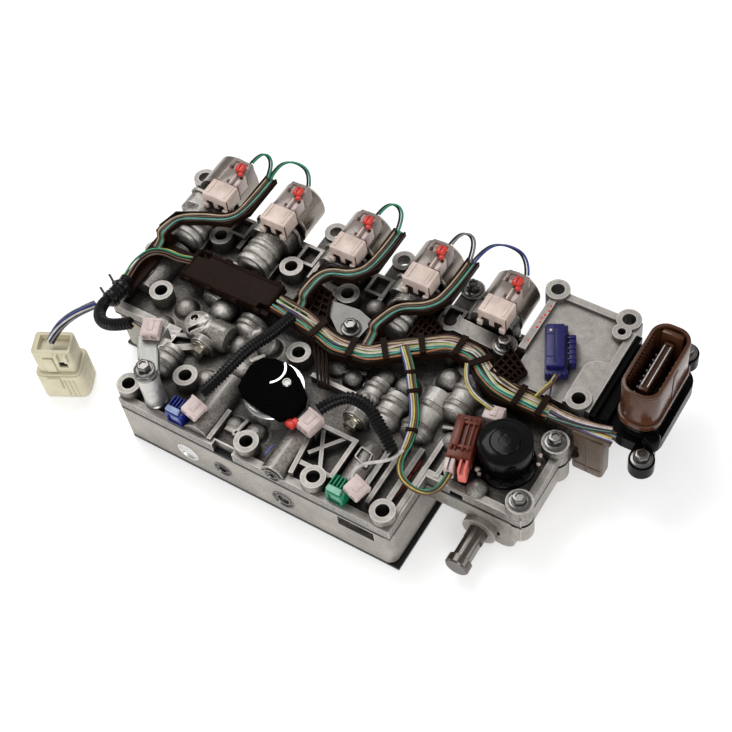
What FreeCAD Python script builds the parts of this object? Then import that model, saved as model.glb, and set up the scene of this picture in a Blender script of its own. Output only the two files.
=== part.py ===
import FreeCAD, Part
import math
import os
import re
import Sketcher
from FreeCAD import Placement, Rotation, Vector

# Transmission valve body with five linear solenoids, a control unit, a wire harness and a
# manual valve. Millimetres, +Z up. z = 0 is the underside of the bottom plate, +X runs along
# the long side towards the case connector and +Y towards the solenoids.

doc = FreeCAD.newDocument("valve_body")
sheet = doc.addObject("Spreadsheet::Sheet", "sizes")

SIZES = {
    # Plan of the castings
    "left_x": -200.0, "step_x": -150.0, "step_y": 0.0, "front_y": -59.0,
    "block_front": -15.0, "wing_wide": 64.5, "wing_gap": 9.0, "wing_back": 136.0, "back_y": 104.0,
    "corner_r": 6.0, "plate_lip": 3.0,
    # Layers of the stack
    "bottom_thick": 2.0, "lower_high": 34.0, "wing_low_thick": 15.0, "plate_thick": 1.5,
    "floor_thick": 4.5, "rim_high": 4.0, "rim_wide": 5.0,
    # Bosses and their bolts
    "boss_r": 8.0, "boss_high": 11.0, "boss_hole_r": 4.4, "lug_high": 5.0,
    "bolt_r": 3.0, "bolt_deep": 12.0, "bolt_clear": 0.05, "flange_r": 6.8, "flange_thick": 1.6,
    "hex_across": 8.0, "hex_high": 4.8,
    # Spool bores in the front face of the lower casting
    "bore_z": 17.7, "bore_deep": 62.0, "bore_one_x": -101.0, "bore_one_r": 7.5,
    "bore_two_x": -73.5, "bore_two_r": 6.5, "bore_three_x": -27.0, "bore_three_r": 8.0,
    "plug_deep": 9.0, "plug_recess": 1.5, "fit_clear": 0.05, "spool_long": 30.0,
    "spring_wire": 1.2, "spring_turns": 4.0, "spool_gap": 0.3,
    "deck_plug_x": -30.5, "deck_plug_z": 45.0, "deck_plug_r": 5.5,
    # Manual valve
    "valve_z": 15.0, "valve_face_y": -19.0, "valve_r": 6.5, "valve_wall": 5.0,
    "valve_out": 28.0, "valve_in": 81.0, "valve_bore_deep": 96.0, "valve_end_r": 8.0,
    "valve_end_thick": 6.0, "valve_flat": 5.2, "valve_flat_long": 15.0,
    # Solenoids
    "sol_first_x": -184.0, "sol_pitch": 55.25, "sol_z": 52.0, "can_r": 16.0, "can_front_y": 106.0,
    "can_long": 28.0, "can_edge": 2.5, "nose_r": 11.5, "nose_front_y": 63.0,
    "short_nose_front_y": 85.5, "conn_gap": 0.1, "pad_wide": 31.0, "pad_high": 20.0, "pad_back_y": 98.0,
    "pad_thick": 10.0, "pad_corner": 6.0, "neck_r": 10.0, "groove_deep": 1.2, "lip_thick": 2.0,
    "lip_out": 1.5,
    "saddle_wall": 2.0, "seat_clear": 0.15,
    # Solenoid connectors
    "conn_wide": 20.0, "conn_long": 16.0, "conn_top": 77.0, "tail_wide": 15.0, "tail_long": 24.0,
    "conn_shift": 4.0, "first_conn_shift": 12.0, "clip_wide": 6.0,
    # Control unit
    "unit_gap": 14.0, "unit_wide": 55.0, "unit_front": 63.0, "unit_back": 137.0,
    "unit_thick": 11.0, "unit_rim": 5.0, "unit_rim_high": 3.0, "unit_boss_high": 16.0,
    "unit_boss_r": 8.0, "bracket_wall": 3.5,
    # Harness
    "frame_low_z": 54.0, "frame_thick": 2.5, "frame_high_z": 66.0, "trunk_wide": 15.0,
    "branch_wide": 9.0, "duct_left": -165.0, "duct_right": -95.0, "duct_front": 34.0,
    "duct_back": 58.0, "duct_high": 5.0, "bundle_high": 5.0, "bundle_wide": 12.0,
    "wire_r": 1.1, "conduit_r": 4.2,
    # Case connector
    "case_gap": 27.0, "case_y": 95.0, "case_wide": 25.0, "case_long": 56.0, "case_wall": 2.2,
    "case_top": 92.0, "shroud_low": 58.0, "case_flange_z": 38.0, "case_flange_thick": 10.0,
    # Cap sensor
    "cap_y": 17.5, "cap_r": 17.0, "cap_neck_r": 13.5, "cap_base_r": 18.5, "cap_high": 27.0,
    # Pigtail
    "cord_r": 3.5, "cord_plug_x": -216.0, "cord_plug_y": -45.0, "cord_plug_high": 47.0,
    # Small parts on the deck
    "side_lug_thick": 5.0, "elbow_top_z": 55.0, "dome_r": 7.0, "hold_thick": 2.4, "range_low_z": 50.0,
    "cover_plug_low_z": 54.0,
    "cover_x": -58.0, "cover_y": -12.0, "cover_can_r": 20.0, "cover_low_z": 58.0, "cover_high": 9.0,
    "small_x": -134.0, "small_y": 12.0, "small_z": 51.0, "small_r": 7.0, "small_long": 20.0,
    "small_head_r": 9.0, "small_head_long": 4.0,
    "sleeve_r": 7.0, "sleeve_high": 36.0, "bracket_thick": 1.6,
    "blue_x": -106.0, "blue_y": -50.5, "green_x": 14.0, "green_y": -50.5,
    "switch_wide": 12.0, "switch_long": 13.0, "switch_high": 14.0, "switch_plug": 11.0,
}

# Places along X that follow the row of solenoids
FOLLOWS = {
    "sol_second_x": "(sol_first_x + sol_pitch)", "sol_third_x": "(sol_first_x + 2 * sol_pitch)",
    "sol_fourth_x": "(sol_first_x + 3 * sol_pitch)", "sol_fifth_x": "(sol_first_x + 4 * sol_pitch)",
    "main_right": "(sol_fifth_x + can_r)", "right_x": "(main_right + wing_wide)",
    "wing_left": "(main_right + wing_gap)",
    "valve_x": "(main_right + 37)", "cap_x": "(main_right + 37)", "unit_left": "(main_right + unit_gap)",
    "unit_right": "(unit_left + unit_wide)", "case_x": "(unit_right + case_gap)",
}

# Bolts and holes in plan: name, x, y
BOSSES = [
    ("front_left", -146.7, -49.4), ("front_inner", -54.8, -49.4), ("front_middle", -4.4, -50.8),
    ("front_right", "main_right - 8.4", -50.6), ("inner_left", -117.6, -27.2),
    ("inner_middle", -62.4, 21.8),
    ("left_web", -172.4, 21.1), ("back_left", "sol_first_x + 20.7", 78.6),
    ("back_second", "sol_second_x + 23.5", 78.2),
    ("back_third", "sol_third_x + 14.1", 76.3), ("arm_left", "sol_fourth_x + 29.3", 88.0),
]
EARS = [
    ("ear_first", "left_x - 8", 120.5), ("ear_second", "sol_second_x + 31.7", 120.5),
    ("ear_third", "sol_third_x + 30.2", 120.5), ("ear_fourth", "sol_fourth_x + 27.7", 120.5),
]
LUGS = [("lug_front", "right_x - 5", -7.0), ("lug_side", "right_x - 5.5", 39.0)]
HOLD_BOLTS = [("arm_end", "sol_fifth_x + 15", 86.0), ("plate_hold", -41.1, 52.0)]
UNIT_HOLES = [
    ("unit_left", "unit_left - 3.5", "unit_back - 1.5"),
    ("unit_back", "unit_right - 8.5", "unit_back - 2.3"),
    ("unit_front", "unit_right - 9.5", "unit_front + 5"),
]
OTHER_SPOTS = [
    ("sleeve", -127.0, -48.0), ("case_front", "case_x + 12", "case_y - 40"),
    ("case_rear", "case_x + 3", "case_y + 42"),
]

for name, x, y in BOSSES + EARS + LUGS + HOLD_BOLTS + UNIT_HOLES + OTHER_SPOTS:
    for axis, place_there in (("x", x), ("y", y)):
        if isinstance(place_there, str):
            FOLLOWS["at_%s_%s" % (name, axis)] = "(%s)" % place_there
        else:
            SIZES["at_%s_%s" % (name, axis)] = place_there

for number, (alias, amount) in enumerate(SIZES.items(), 1):
    sheet.set("A%d" % number, alias)
    sheet.set("B%d" % number, str(amount))
    sheet.setAlias("B%d" % number, alias)
doc.recompute()

WORD = re.compile(r"[a-z][a-z_]*")

# Levels that follow from the stack
UNDER = "bottom_thick"
SEAM = "(bottom_thick + lower_high)"
DECK = "(bottom_thick + lower_high + plate_thick)"
FLOOR = "(bottom_thick + lower_high + plate_thick + floor_thick)"
RIM = "(bottom_thick + lower_high + plate_thick + floor_thick + rim_high)"
BOSS_TOP = "(bottom_thick + lower_high + plate_thick + floor_thick + boss_high)"
LUG_TOP = "(bottom_thick + lower_high + plate_thick + floor_thick + lug_high)"
ARM_TOP = "(bottom_thick + lower_high + plate_thick + floor_thick + boss_high + 2.4)"
CAN_FRONT = "can_front_y"


def linked(text):
    """An expression in which each size is read from the sheet."""
    def read(found):
        word = found.group()
        if word in FOLLOWS:
            return linked(FOLLOWS[word])
        return "sizes." + word if word in SIZES else word
    return WORD.sub(read, str(text))


def value(text):
    return float(sheet.evalExpression(linked(text)))


def bind(item, prop, text):
    item.setExpression(prop, linked(text))
    return item


def place(item, x, y, z):
    for axis, text in zip("xyz", (x, y, z)):
        bind(item, "Placement.Base." + axis, text)
    return item


ALONG = {
    "z": Rotation(),
    "y": Rotation(Vector(1, 0, 0), -90),
    "x": Rotation(Vector(0, 1, 0), 90),
}


def box(name, x, y, z, long_x, long_y, long_z):
    item = doc.addObject("Part::Box", name)
    bind(item, "Length", long_x)
    bind(item, "Width", long_y)
    bind(item, "Height", long_z)
    return place(item, x, y, z)


def block(name, mid_x, mid_y, low_z, long_x, long_y, high_z, turn=0.0):
    """A box on its middle, turned about the upright axis through that middle."""
    item = doc.addObject("Part::Box", name)
    bind(item, "Length", long_x)
    bind(item, "Width", long_y)
    bind(item, "Height", high_z)
    item.Placement = Placement(Vector(), Rotation(Vector(0, 0, 1), turn))
    cosine = math.cos(math.radians(turn))
    sine = math.sin(math.radians(turn))
    x = "(%s) - (%s) * %.6f + (%s) * %.6f" % (mid_x, long_x, cosine / 2, long_y, sine / 2)
    y = "(%s) - (%s) * %.6f - (%s) * %.6f" % (mid_y, long_x, sine / 2, long_y, cosine / 2)
    return place(item, x, y, low_z)


def rod(name, radius, length, x, y, z, along="z"):
    item = doc.addObject("Part::Cylinder", name)
    bind(item, "Radius", radius)
    bind(item, "Height", length)
    item.Placement = Placement(Vector(), ALONG[along])
    return place(item, x, y, z)


def hexagon(name, across, high, x, y, z, along="z"):
    item = doc.addObject("Part::Prism", name)
    item.Polygon = 6
    bind(item, "Circumradius", "(%s) / 1.732051" % across)
    bind(item, "Height", high)
    item.Placement = Placement(Vector(), ALONG[along])
    return place(item, x, y, z)


def fuse(name, items):
    item = doc.addObject("Part::MultiFuse", name)
    item.Shapes = list(items)
    item.Refine = True
    return item


def cut(name, base, tools):
    tool = tools[0] if len(tools) == 1 else fuse(name + "_tools", tools)
    item = doc.addObject("Part::Cut", name)
    item.Base = base
    item.Tool = tool
    item.Refine = True
    return item


def group(name, items):
    item = doc.addObject("Part::Compound", name)
    item.Links = list(items)
    return item


def rounded(name, base, radius, chosen):
    """Fillets on the edges of base that chosen accepts."""
    doc.recompute()
    item = doc.addObject("Part::Fillet", name)
    item.Base = base
    item.Edges = [(n, value(radius), value(radius))
        for n, edge in enumerate(base.Shape.Edges, 1) if chosen(edge)]
    return item


def upright(edge):
    if len(edge.Vertexes) != 2 or not isinstance(edge.Curve, Part.Line):
        return False
    return abs(edge.tangentAt(edge.FirstParameter).z) > 0.99


def top_along_y(edge):
    """An edge that runs along Y above the axis of the solenoids."""
    return abs(edge.tangentAt(edge.FirstParameter).y) > 0.99 and edge.Vertexes[0].Z > value("sol_z")


def raised(edge, level):
    """A level edge that lies at the height given."""
    return abs(edge.BoundBox.ZMin - level) < 0.01 and abs(edge.BoundBox.ZMax - level) < 0.01


def origin_plane(body, role):
    return next(item for item in body.Origin.OriginFeatures if item.Role == role)


def sketch(body, name, role, loops, offset="0"):
    """A sketch of closed polygons whose corners are all bound to the sheet."""
    drawn = body.newObject("Sketcher::SketchObject", name)
    drawn.AttachmentSupport = [(origin_plane(body, role), "")]
    drawn.MapMode = "FlatFace"
    bind(drawn, "AttachmentOffset.Base.z", offset)
    for corners in loops:
        first = drawn.GeometryCount
        count = len(corners)
        spots = [Vector(value(x), value(y), 0) for x, y in corners]
        for n in range(count):
            drawn.addGeometry(Part.LineSegment(spots[n], spots[(n + 1) % count]), False)
        for n in range(count):
            drawn.addConstraint(Sketcher.Constraint("Coincident", first + n, 2, first + (n + 1) % count, 1))
        for n, (x, y) in enumerate(corners):
            across = drawn.addConstraint(Sketcher.Constraint("DistanceX", -1, 1, first + n, 1, spots[n].x))
            bind(drawn, "Constraints[%d]" % across, x)
            upward = drawn.addConstraint(Sketcher.Constraint("DistanceY", -1, 1, first + n, 1, spots[n].y))
            bind(drawn, "Constraints[%d]" % upward, y)
    return drawn


def slab(name, corners, low, thick):
    """A padded outline on the level low, as a body."""
    body = doc.addObject("PartDesign::Body", name)
    outline = sketch(body, name + "_outline", "XY_Plane", [corners], low)
    pad = body.newObject("PartDesign::Pad", name + "_pad")
    pad.Profile = outline
    bind(pad, "Length", thick)
    return body


def turned(name, profile, x, y, z, along="z"):
    """A turned body: profile is a list of (radius, height) corners about its own axis."""
    body = doc.addObject("PartDesign::Body", name)
    outline = sketch(body, name + "_profile", "XZ_Plane", [profile])
    turn = body.newObject("PartDesign::Revolution", name + "_turn")
    turn.Profile = outline
    turn.ReferenceAxis = (outline, ["V_Axis"])
    turn.Angle = 360.0
    body.Placement = Placement(Vector(), ALONG[along])
    return place(body, x, y, z)


def shaped(name, shape):
    item = doc.addObject("Part::Feature", name)
    item.Shape = shape
    return item


def strip(points, width, low, high):
    """A solid that follows a route in plan, with mitred corners and square ends."""
    route = [Vector(x, y, 0) for x, y in points]
    left = []
    right = []
    for n, point in enumerate(route):
        before = (point - route[n - 1]).normalize() if n > 0 else (route[1] - point).normalize()
        after = (route[n + 1] - point).normalize() if n < len(route) - 1 else before
        middle = (before + after).normalize()
        side = Vector(-middle.y, middle.x, 0) * (width / 2 / max(0.5, middle.dot(before)))
        left.append(point + side)
        right.append(point - side)
    corners = left + right[::-1]
    face = Part.Face(Part.makePolygon(corners + corners[:1]))
    face.translate(Vector(0, 0, low))
    return face.extrude(Vector(0, 0, high - low))


def bent_path(points):
    """Straight runs joined by tangent arcs, each as large as its two runs allow."""
    spots = [Vector(*point) for point in points]
    edges = []
    radii = []
    start = spots[0]
    for n in range(1, len(spots) - 1):
        back = (spots[n - 1] - spots[n]).normalize()
        ahead = (spots[n + 1] - spots[n]).normalize()
        turn = math.pi - back.getAngle(ahead)
        reach = 0.45 * min((spots[n] - spots[n - 1]).Length, (spots[n + 1] - spots[n]).Length)
        radii.append(reach / math.tan(turn / 2))
        enter = spots[n] + back * reach
        leave = spots[n] + ahead * reach
        inward = (back + ahead).normalize()
        middle = spots[n] + inward * (radii[-1] / math.cos(turn / 2) - radii[-1])
        edges.append(Part.LineSegment(start, enter).toShape())
        edges.append(Part.Arc(enter, middle, leave).toShape())
        start = leave
    edges.append(Part.LineSegment(start, spots[-1]).toShape())
    return Part.Wire(edges), radii


def tube(points, radius):
    """A round tube along a bent path."""
    path, radii = bent_path(points)
    first = path.Edges[0]
    ahead = first.tangentAt(first.FirstParameter)
    section = Part.Face(Part.Wire(Part.makeCircle(radius, Vector(*points[0]), ahead)))
    return path.makePipe(section), path.Length, radii


nodes = []


def node(name, item):
    """Marks a finished sub-part and gives it its name."""
    item.Label = name
    nodes.append(item)
    return item


# Outlines in plan
MAIN = [
    ("left_x", "step_y"), ("step_x", "step_y"), ("step_x", "front_y"),
    ("main_right", "front_y"), ("main_right", "back_y"), ("left_x", "back_y"),
]
WING = [
    ("main_right", "block_front"), ("right_x", "block_front"), ("right_x", "wing_back"),
    ("wing_left", "wing_back"), ("wing_left", "back_y"), ("main_right", "back_y"),
]
WHOLE = [
    ("left_x", "step_y"), ("step_x", "step_y"), ("step_x", "front_y"), ("main_right", "front_y"),
    ("main_right", "block_front"), ("right_x", "block_front"), ("right_x", "wing_back"),
    ("wing_left", "wing_back"), ("wing_left", "back_y"), ("left_x", "back_y"),
]
HOLLOW = [
    ("left_x + rim_wide", "step_y + rim_wide"), ("step_x + rim_wide", "step_y + rim_wide"),
    ("step_x + rim_wide", "front_y + rim_wide"), ("main_right - rim_wide", "front_y + rim_wide"),
    ("main_right - rim_wide", "block_front + rim_wide"), ("right_x - rim_wide", "block_front + rim_wide"),
    ("right_x - rim_wide", "wing_back - rim_wide"), ("wing_left + rim_wide", "wing_back - rim_wide"),
    ("wing_left + rim_wide", "back_y - rim_wide"), ("left_x + rim_wide", "back_y - rim_wide"),
]


def at(name):
    return "at_%s_x" % name, "at_%s_y" % name


def stack_holes(prefix, low, high, names):
    return [rod("%s_hole_%s" % (prefix, n), "boss_hole_r", "%s - (%s)" % (high, low), *at(n), low)
        for n in names]


def bolt_holes(prefix, top, names):
    return [
        rod("%s_bolt_%s" % (prefix, n), "bolt_r + bolt_clear", "bolt_deep + 1", *at(n),
            "%s - bolt_deep - 0.5" % top)
        for n in names
    ]


THROUGH = [name for name, x, y in BOSSES]
LUG_NAMES = [name for name, x, y in LUGS]

# Bottom plate
node("bottom_plate", cut("bottom_plate", slab("bottom_sheet", [
    ("left_x", "step_y"), ("step_x", "step_y"), ("step_x", "front_y"),
    ("main_right + plate_lip", "front_y"), ("main_right + plate_lip", "back_y"), ("left_x", "back_y"),
], "0", "bottom_thick"), stack_holes("bottom", "(0 - 1)", UNDER + " + 1", THROUGH)))

# Lower casting
lower_parts = [
    slab("lower_main", MAIN, UNDER, "lower_high"),
    slab("lower_wing", WING, SEAM + " - wing_low_thick", "wing_low_thick"),
    rod("valve_housing", "valve_r + valve_wall", "valve_bore_deep + 4", "valve_x", "valve_face_y",
        "valve_z", "y"),
    rod("valve_side_lobe", "10", "44", "valve_x + 13", "block_front", "valve_z - 1", "y"),
    rod("front_left_lower_lug", "boss_r", "lower_high", *at("front_left"), UNDER),
]
lower_parts += [rod("lower_" + n, "boss_r + 0.5", "wing_low_thick + 2", *at(n),
    SEAM + " - wing_low_thick - 2") for n in LUG_NAMES]
lower_solid = fuse("lower_solid", lower_parts)
doc.recompute()


def lower_corner(edge):
    if not upright(edge) or edge.Length < value("lower_high") - 0.5:
        return False
    x, y = edge.Vertexes[0].X, edge.Vertexes[0].Y
    return any(abs(x - value(a)) < 0.1 and abs(y - value(b)) < 0.1 for a, b in (
        ("main_right", "front_y"), ("left_x", "step_y"), ("left_x", "back_y"), ("main_right", "back_y")))


lower_round = rounded("lower_round", lower_solid, "corner_r", lower_corner)
BORES = [
    ("one", "bore_one_x", "bore_one_r"), ("two", "bore_two_x", "bore_two_r"),
    ("three", "bore_three_x", "bore_three_r"),
]
lower_tools = [
    rod("valve_bore", "valve_r + fit_clear", "valve_bore_deep + 1", "valve_x", "valve_face_y - 1",
        "valve_z", "y"),
    rod("lobe_hole", "2.4", "9", "valve_x + 10.5", "block_front - 1", "valve_z + 1", "y"),
    box("front_window", "15", "front_y - 1", UNDER + " + 22", "26", "13", "10"),
]
lower_tools += [rod("spool_bore_" + n, r, "bore_deep + 1", x, "front_y - 1", "bore_z", "y")
    for n, x, r in BORES]
lower_tools += stack_holes("lower", UNDER + " - 1", SEAM + " + 1", THROUGH)
node("lower_body", cut("lower_body", lower_round, lower_tools))

# Separator plate between the castings
plate_parts = [slab("plate_whole", WHOLE, SEAM, "plate_thick")]
plate_parts += [rod("plate_" + n, "boss_r", "plate_thick", *at(n), SEAM)
    for n in ["front_left"] + LUG_NAMES]
plate_tools = stack_holes("plate", SEAM + " - 1", DECK + " + 1", THROUGH)
node("separator_plate", cut("separator_plate", fuse("plate_solid", plate_parts), plate_tools))

# Upper casting: a tray with a raised rim
tray = doc.addObject("PartDesign::Body", "tray")
tray_pad = tray.newObject("PartDesign::Pad", "tray_pad")
tray_outline = sketch(tray, "tray_outline", "XY_Plane", [WHOLE], DECK)
tray_pad.Profile = tray_outline
bind(tray_pad, "Length", "floor_thick + rim_high")
tray_hollow = sketch(tray, "tray_hollow", "XY_Plane", [HOLLOW], RIM)
tray_pocket = tray.newObject("PartDesign::Pocket", "tray_pocket")
tray_pocket.Profile = tray_hollow
bind(tray_pocket, "Length", "rim_high")
tray.Tip = tray_pocket

sol_x = ["sol_first_x", "sol_second_x", "sol_third_x", "sol_fourth_x", "sol_fifth_x"]
NOSES = ["long", "long", "short", "long", "none"]
LONG_NOSES = [n for n, kind in enumerate(NOSES) if kind == "long"]
# Where each solenoid's block ends and its nose begins
PAD_BACKS = ["pad_back_y"] * 4 + [CAN_FRONT]
NOSE_FRONTS = [
    "nose_front_y", "nose_front_y", "short_nose_front_y", "nose_front_y", CAN_FRONT + " - pad_thick",
]

upper_parts = [tray]
upper_parts += [rod("boss_" + n, "boss_r", "boss_high + floor_thick", *at(n), DECK) for n, x, y in BOSSES]
upper_parts += [rod("boss_" + n, "boss_r", "lug_high + floor_thick", *at(n), DECK) for n, x, y in EARS]
upper_parts += [rod("boss_" + n, "boss_r + 0.5", "boss_high + floor_thick", *at(n), DECK)
    for n in LUG_NAMES]
upper_parts += [
    rod("boss_plate_hold", "boss_r", "boss_high + floor_thick", *at("plate_hold"), DECK),
    rod("boss_arm_end", "boss_r", "%s - %s" % (ARM_TOP, DECK), *at("arm_end"), DECK),
]
upper_parts += [
    box("ear_arm_" + n, "at_%s_x - 6" % n, "back_y - 2", DECK, "12", "at_%s_y - back_y + 2" % n,
        "floor_thick + 3")
    for n, x, y in EARS[1:]
]
upper_parts.append(slab("ear_arm_left", [
    ("left_x - 9", "back_y - 12"), ("left_x + 1", "back_y - 12"), ("left_x + 1", "back_y"),
    ("left_x - 0.5", "back_y"),
    ("left_x - 0.5", "at_ear_first_y"), ("left_x - 9", "at_ear_first_y"),
], DECK, "floor_thick + 3"))
upper_parts += [
    box("saddle_%d" % n, sol_x[n] + " - nose_r - saddle_wall", "nose_front_y + 1", FLOOR,
        "2 * (nose_r + saddle_wall)", "14", "sol_z - %s - 3" % FLOOR)
    for n in LONG_NOSES
]

# Valve bores that swell out of the deck: name, x, front y, length, radius, height of axis
SWELLS = [
    ("deck_bore_a", -90.0, -56.5, 44.0, 9.0, 44.0), ("deck_bore_b", -30.5, -58.5, 32.0, 8.5, 45.0),
    ("deck_bore_c", 46.0, 30.0, 28.0, 9.5, 43.5), ("deck_bore_d", 31.0, 6.0, 34.0, 9.5, 43.5),
    ("deck_bore_e", 10.0, 4.0, 22.0, 9.0, 44.0), ("deck_bore_f", -6.0, 10.0, 20.0, 7.0, 45.0),
    ("deck_bore_g", -140.0, 34.0, 30.0, 9.0, 43.5), ("deck_bore_h", -105.0, 21.0, 12.0, 9.0, 44.0),
    ("deck_bore_i", -186.0, 20.0, 40.0, 9.0, 44.0), ("deck_bore_j", -140.0, -30.0, 20.0, 8.0, 43.5),
]
upper_parts += [
    cut(name, rod(name + "_round", r, long, x, y, z, "y"),
        [box(name + "_trim", x - r - 1, y - 1, DECK + " - 20", 2 * r + 2, long + 2, "20.5")])
    for name, x, y, long, r, z in SWELLS
]

# Ribs and rails on the deck: name, x, y, size along X and Y, turn, height above the floor
RIBS = [
    ("rail_a", 24.0, -27.0, 3.5, 46.0, 0.0, 4.0), ("rail_b", 31.5, -24.0, 3.0, 48.0, 0.0, 5.5),
    ("rail_c", "main_right - 11", -20.0, 3.5, 40.0, 0.0, 5.5),
    ("rail_d", "main_right - 3", -16.0, 3.0, 60.0, 0.0, 4.5),
    ("rib_switch", -79.5, -45.0, 3.0, 24.0, 0.0, 6.0), ("rib_diagonal", -124.0, 0.0, 5.0, 64.0, -58.0, 5.0),
    ("web_left", -22.0, -36.0, 3.0, 36.0, 8.0, 8.0), ("web_right", 4.0, -30.0, 3.0, 30.0, 0.0, 8.0),
    ("web_slant", -12.0, -30.0, 2.5, 30.0, 28.0, 7.0),
    ("web_slant_back", -10.0, -26.0, 2.5, 26.0, -38.0, 7.0),
    ("web_cross", -8.0, -16.0, 27.0, 3.0, 0.0, 8.0), ("web_low", -9.0, -44.0, 24.0, 3.0, 0.0, 7.0),
    ("rib_middle", -25.0, 14.0, 46.0, 3.0, 0.0, 6.0), ("rib_back_a", -150.0, 90.0, 3.0, 24.0, 0.0, 5.0),
    ("rib_back_b", -92.0, 90.0, 3.0, 24.0, 0.0, 6.5), ("rib_back_c", -40.0, 88.0, 3.0, 28.0, 0.0, 6.5),
    ("rib_wing", "main_right + 5.5", 10.0, 3.0, 46.0, 0.0, 4.5),
    ("arm", "(sol_fourth_x + sol_fifth_x) / 2 + 22.1", 87.0, "sol_pitch - 13.2", 11.0, -3.0, 11.0),
]
upper_parts += [
    block(name, x, y, DECK + " + 1", dx, dy, "floor_thick - 1 + %s" % high, turn)
    for name, x, y, dx, dy, turn, high in RIBS
]
# Raised frames on the back deck, one beside each of the first four solenoids
for n, x in enumerate(sol_x[:4]):
    upper_parts.append(box("back_frame_%d" % n, x + " + pad_wide / 2 + 5", "back_y - 18", DECK, "14", "16",
        "floor_thick + 7"))
# Posts for the harness frame: x, y
POSTS = [
    (-150.0, 52.0), (-112.0, 44.0), (-190.0, 30.0), (-22.0, 38.0), ("main_right - 29", 67.0),
    ("main_right + 17", 55.5),
]
upper_parts += [rod("post_%d" % n, 4, "frame_low_z - %s" % DECK, x, y, DECK)
    for n, (x, y) in enumerate(POSTS)]
# Pads for connectors that stand on the deck: name, x, y, size along X and Y, top
PEDESTALS = [("pad_range", "main_right + 12", 10.5, 11.0, 22.0, "range_low_z"),
    ("pad_cover_plug", -23.5, -21.0, 8.0, 8.0, "cover_plug_low_z")]
upper_parts += [block(name, x, y, DECK, dx, dy, "%s - %s" % (top, DECK))
    for name, x, y, dx, dy, top in PEDESTALS]
# Lugs that carry the two bolts lying along Y: name, x, front y
SIDE_BOLTS = [("middle", -5.0, -4.0), ("left", -123.0, -3.0)]
SIDE_BOLT_Z = "(%s + 8)" % FLOOR
for name, x, y in SIDE_BOLTS:
    upper_parts.append(box("side_lug_" + name, x - 8, y, DECK, 16, "side_lug_thick", "floor_thick + 8"))
    upper_parts.append(rod("side_lug_round_" + name, 8, "side_lug_thick", x, y, SIDE_BOLT_Z, "y"))
# Bumps on the left wall
upper_parts += [rod("bump_%d" % n, 6.5, "floor_thick + rim_high", "left_x - 3", y, DECK)
    for n, y in enumerate((22, 52, 66))]
# Round bosses on the deck
for n, (x, y) in enumerate([(-128.0, 27.0), (-88.0, 20.0), ("sol_third_x + 33.5", 78.0),
    ("main_right + 31", -8.0)]):
    dome = doc.addObject("Part::Sphere", "dome_%d" % n)
    bind(dome, "Radius", "dome_r")
    upper_parts.append(place(dome, x, y, DECK + " + 7"))

upper_solid = fuse("upper_solid", upper_parts)
upper_tools = stack_holes("upper", DECK + " - 1", BOSS_TOP + " + 1", THROUGH)
upper_tools += stack_holes("upper", DECK + " - 1", LUG_TOP + " + 1", [n for n, x, y in EARS[:3]])
upper_tools += bolt_holes("upper", BOSS_TOP, LUG_NAMES + ["plate_hold"])
upper_tools += bolt_holes("upper", ARM_TOP, ["arm_end"])
upper_tools += bolt_holes("upper", LUG_TOP, ["ear_fourth"])
upper_tools += [
    rod("cradle_%d" % n, "nose_r + seat_clear", CAN_FRONT + " - (%s) + 2" % front, sol_x[n], front + " - 1",
        "sol_z", "y")
    for n, front in enumerate(NOSE_FRONTS)
]
upper_tools += [
    box("pad_pocket_%d" % n, sol_x[n] + " - pad_wide / 2 - lip_out - seat_clear",
        back + " - pad_thick - seat_clear", FLOOR,
        "pad_wide + 2 * (lip_out + seat_clear)", "pad_thick + lip_thick + 2 * seat_clear", "2 * pad_high")
    for n, back in enumerate(PAD_BACKS)
]
upper_tools += [
    rod("side_bore_" + name, "bolt_r + bolt_clear", "side_lug_thick + 2", x, y - 1, SIDE_BOLT_Z, "y")
    for name, x, y in SIDE_BOLTS
]
upper_tools += [
    rod("side_head_seat_" + name, "flange_r + seat_clear", 10, x, y - 10, SIDE_BOLT_Z, "y")
    for name, x, y in SIDE_BOLTS
]
upper_tools += [
    box("back_frame_hollow_%d" % n, x + " + pad_wide / 2 + 7", "back_y - 16", FLOOR + " + 1", "10", "12",
        "12")
    for n, x in enumerate(sol_x[:4])
]
upper_tools += [
    box("front_notch", -76, "front_y - 1", DECK + " - 1", 15, 5, "rim_high + floor_thick + 2"),
    box("block_notch", "main_right + 16", "block_front - 1", DECK + " - 1", 9, 3, 6),
    rod("deck_plug_bore", "deck_plug_r", "plug_deep + 3", "deck_plug_x", "front_y - 1", "deck_plug_z", "y"),
    rod("cover_seat", "cover_can_r + seat_clear", 30, "cover_x", "cover_y", FLOOR),
    rod("small_seat", "small_r + seat_clear", "small_long + 2 * seat_clear", "small_x - seat_clear",
        "small_y", "small_z", "x"),
    rod("small_head_seat", "small_head_r + seat_clear", "small_head_long + 2 * seat_clear",
        "small_x - small_head_long - seat_clear", "small_y", "small_z", "x"),
    rod("sleeve_seat", "sleeve_r + seat_clear", 30, *at("sleeve"), FLOOR),
    rod("cap_seat", "cap_base_r + seat_clear", 30, "cap_x", "cap_y", FLOOR),
    block("blue_seat", "blue_x", "blue_y", FLOOR, "switch_wide + 2 * seat_clear",
        "switch_long + 2 * seat_clear", 30),
    block("green_seat", "green_x", "green_y", FLOOR, "switch_wide + 2 * seat_clear",
        "switch_long + 2 * seat_clear", 30),
]
node("upper_body", cut("upper_body", upper_solid, upper_tools))

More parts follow.
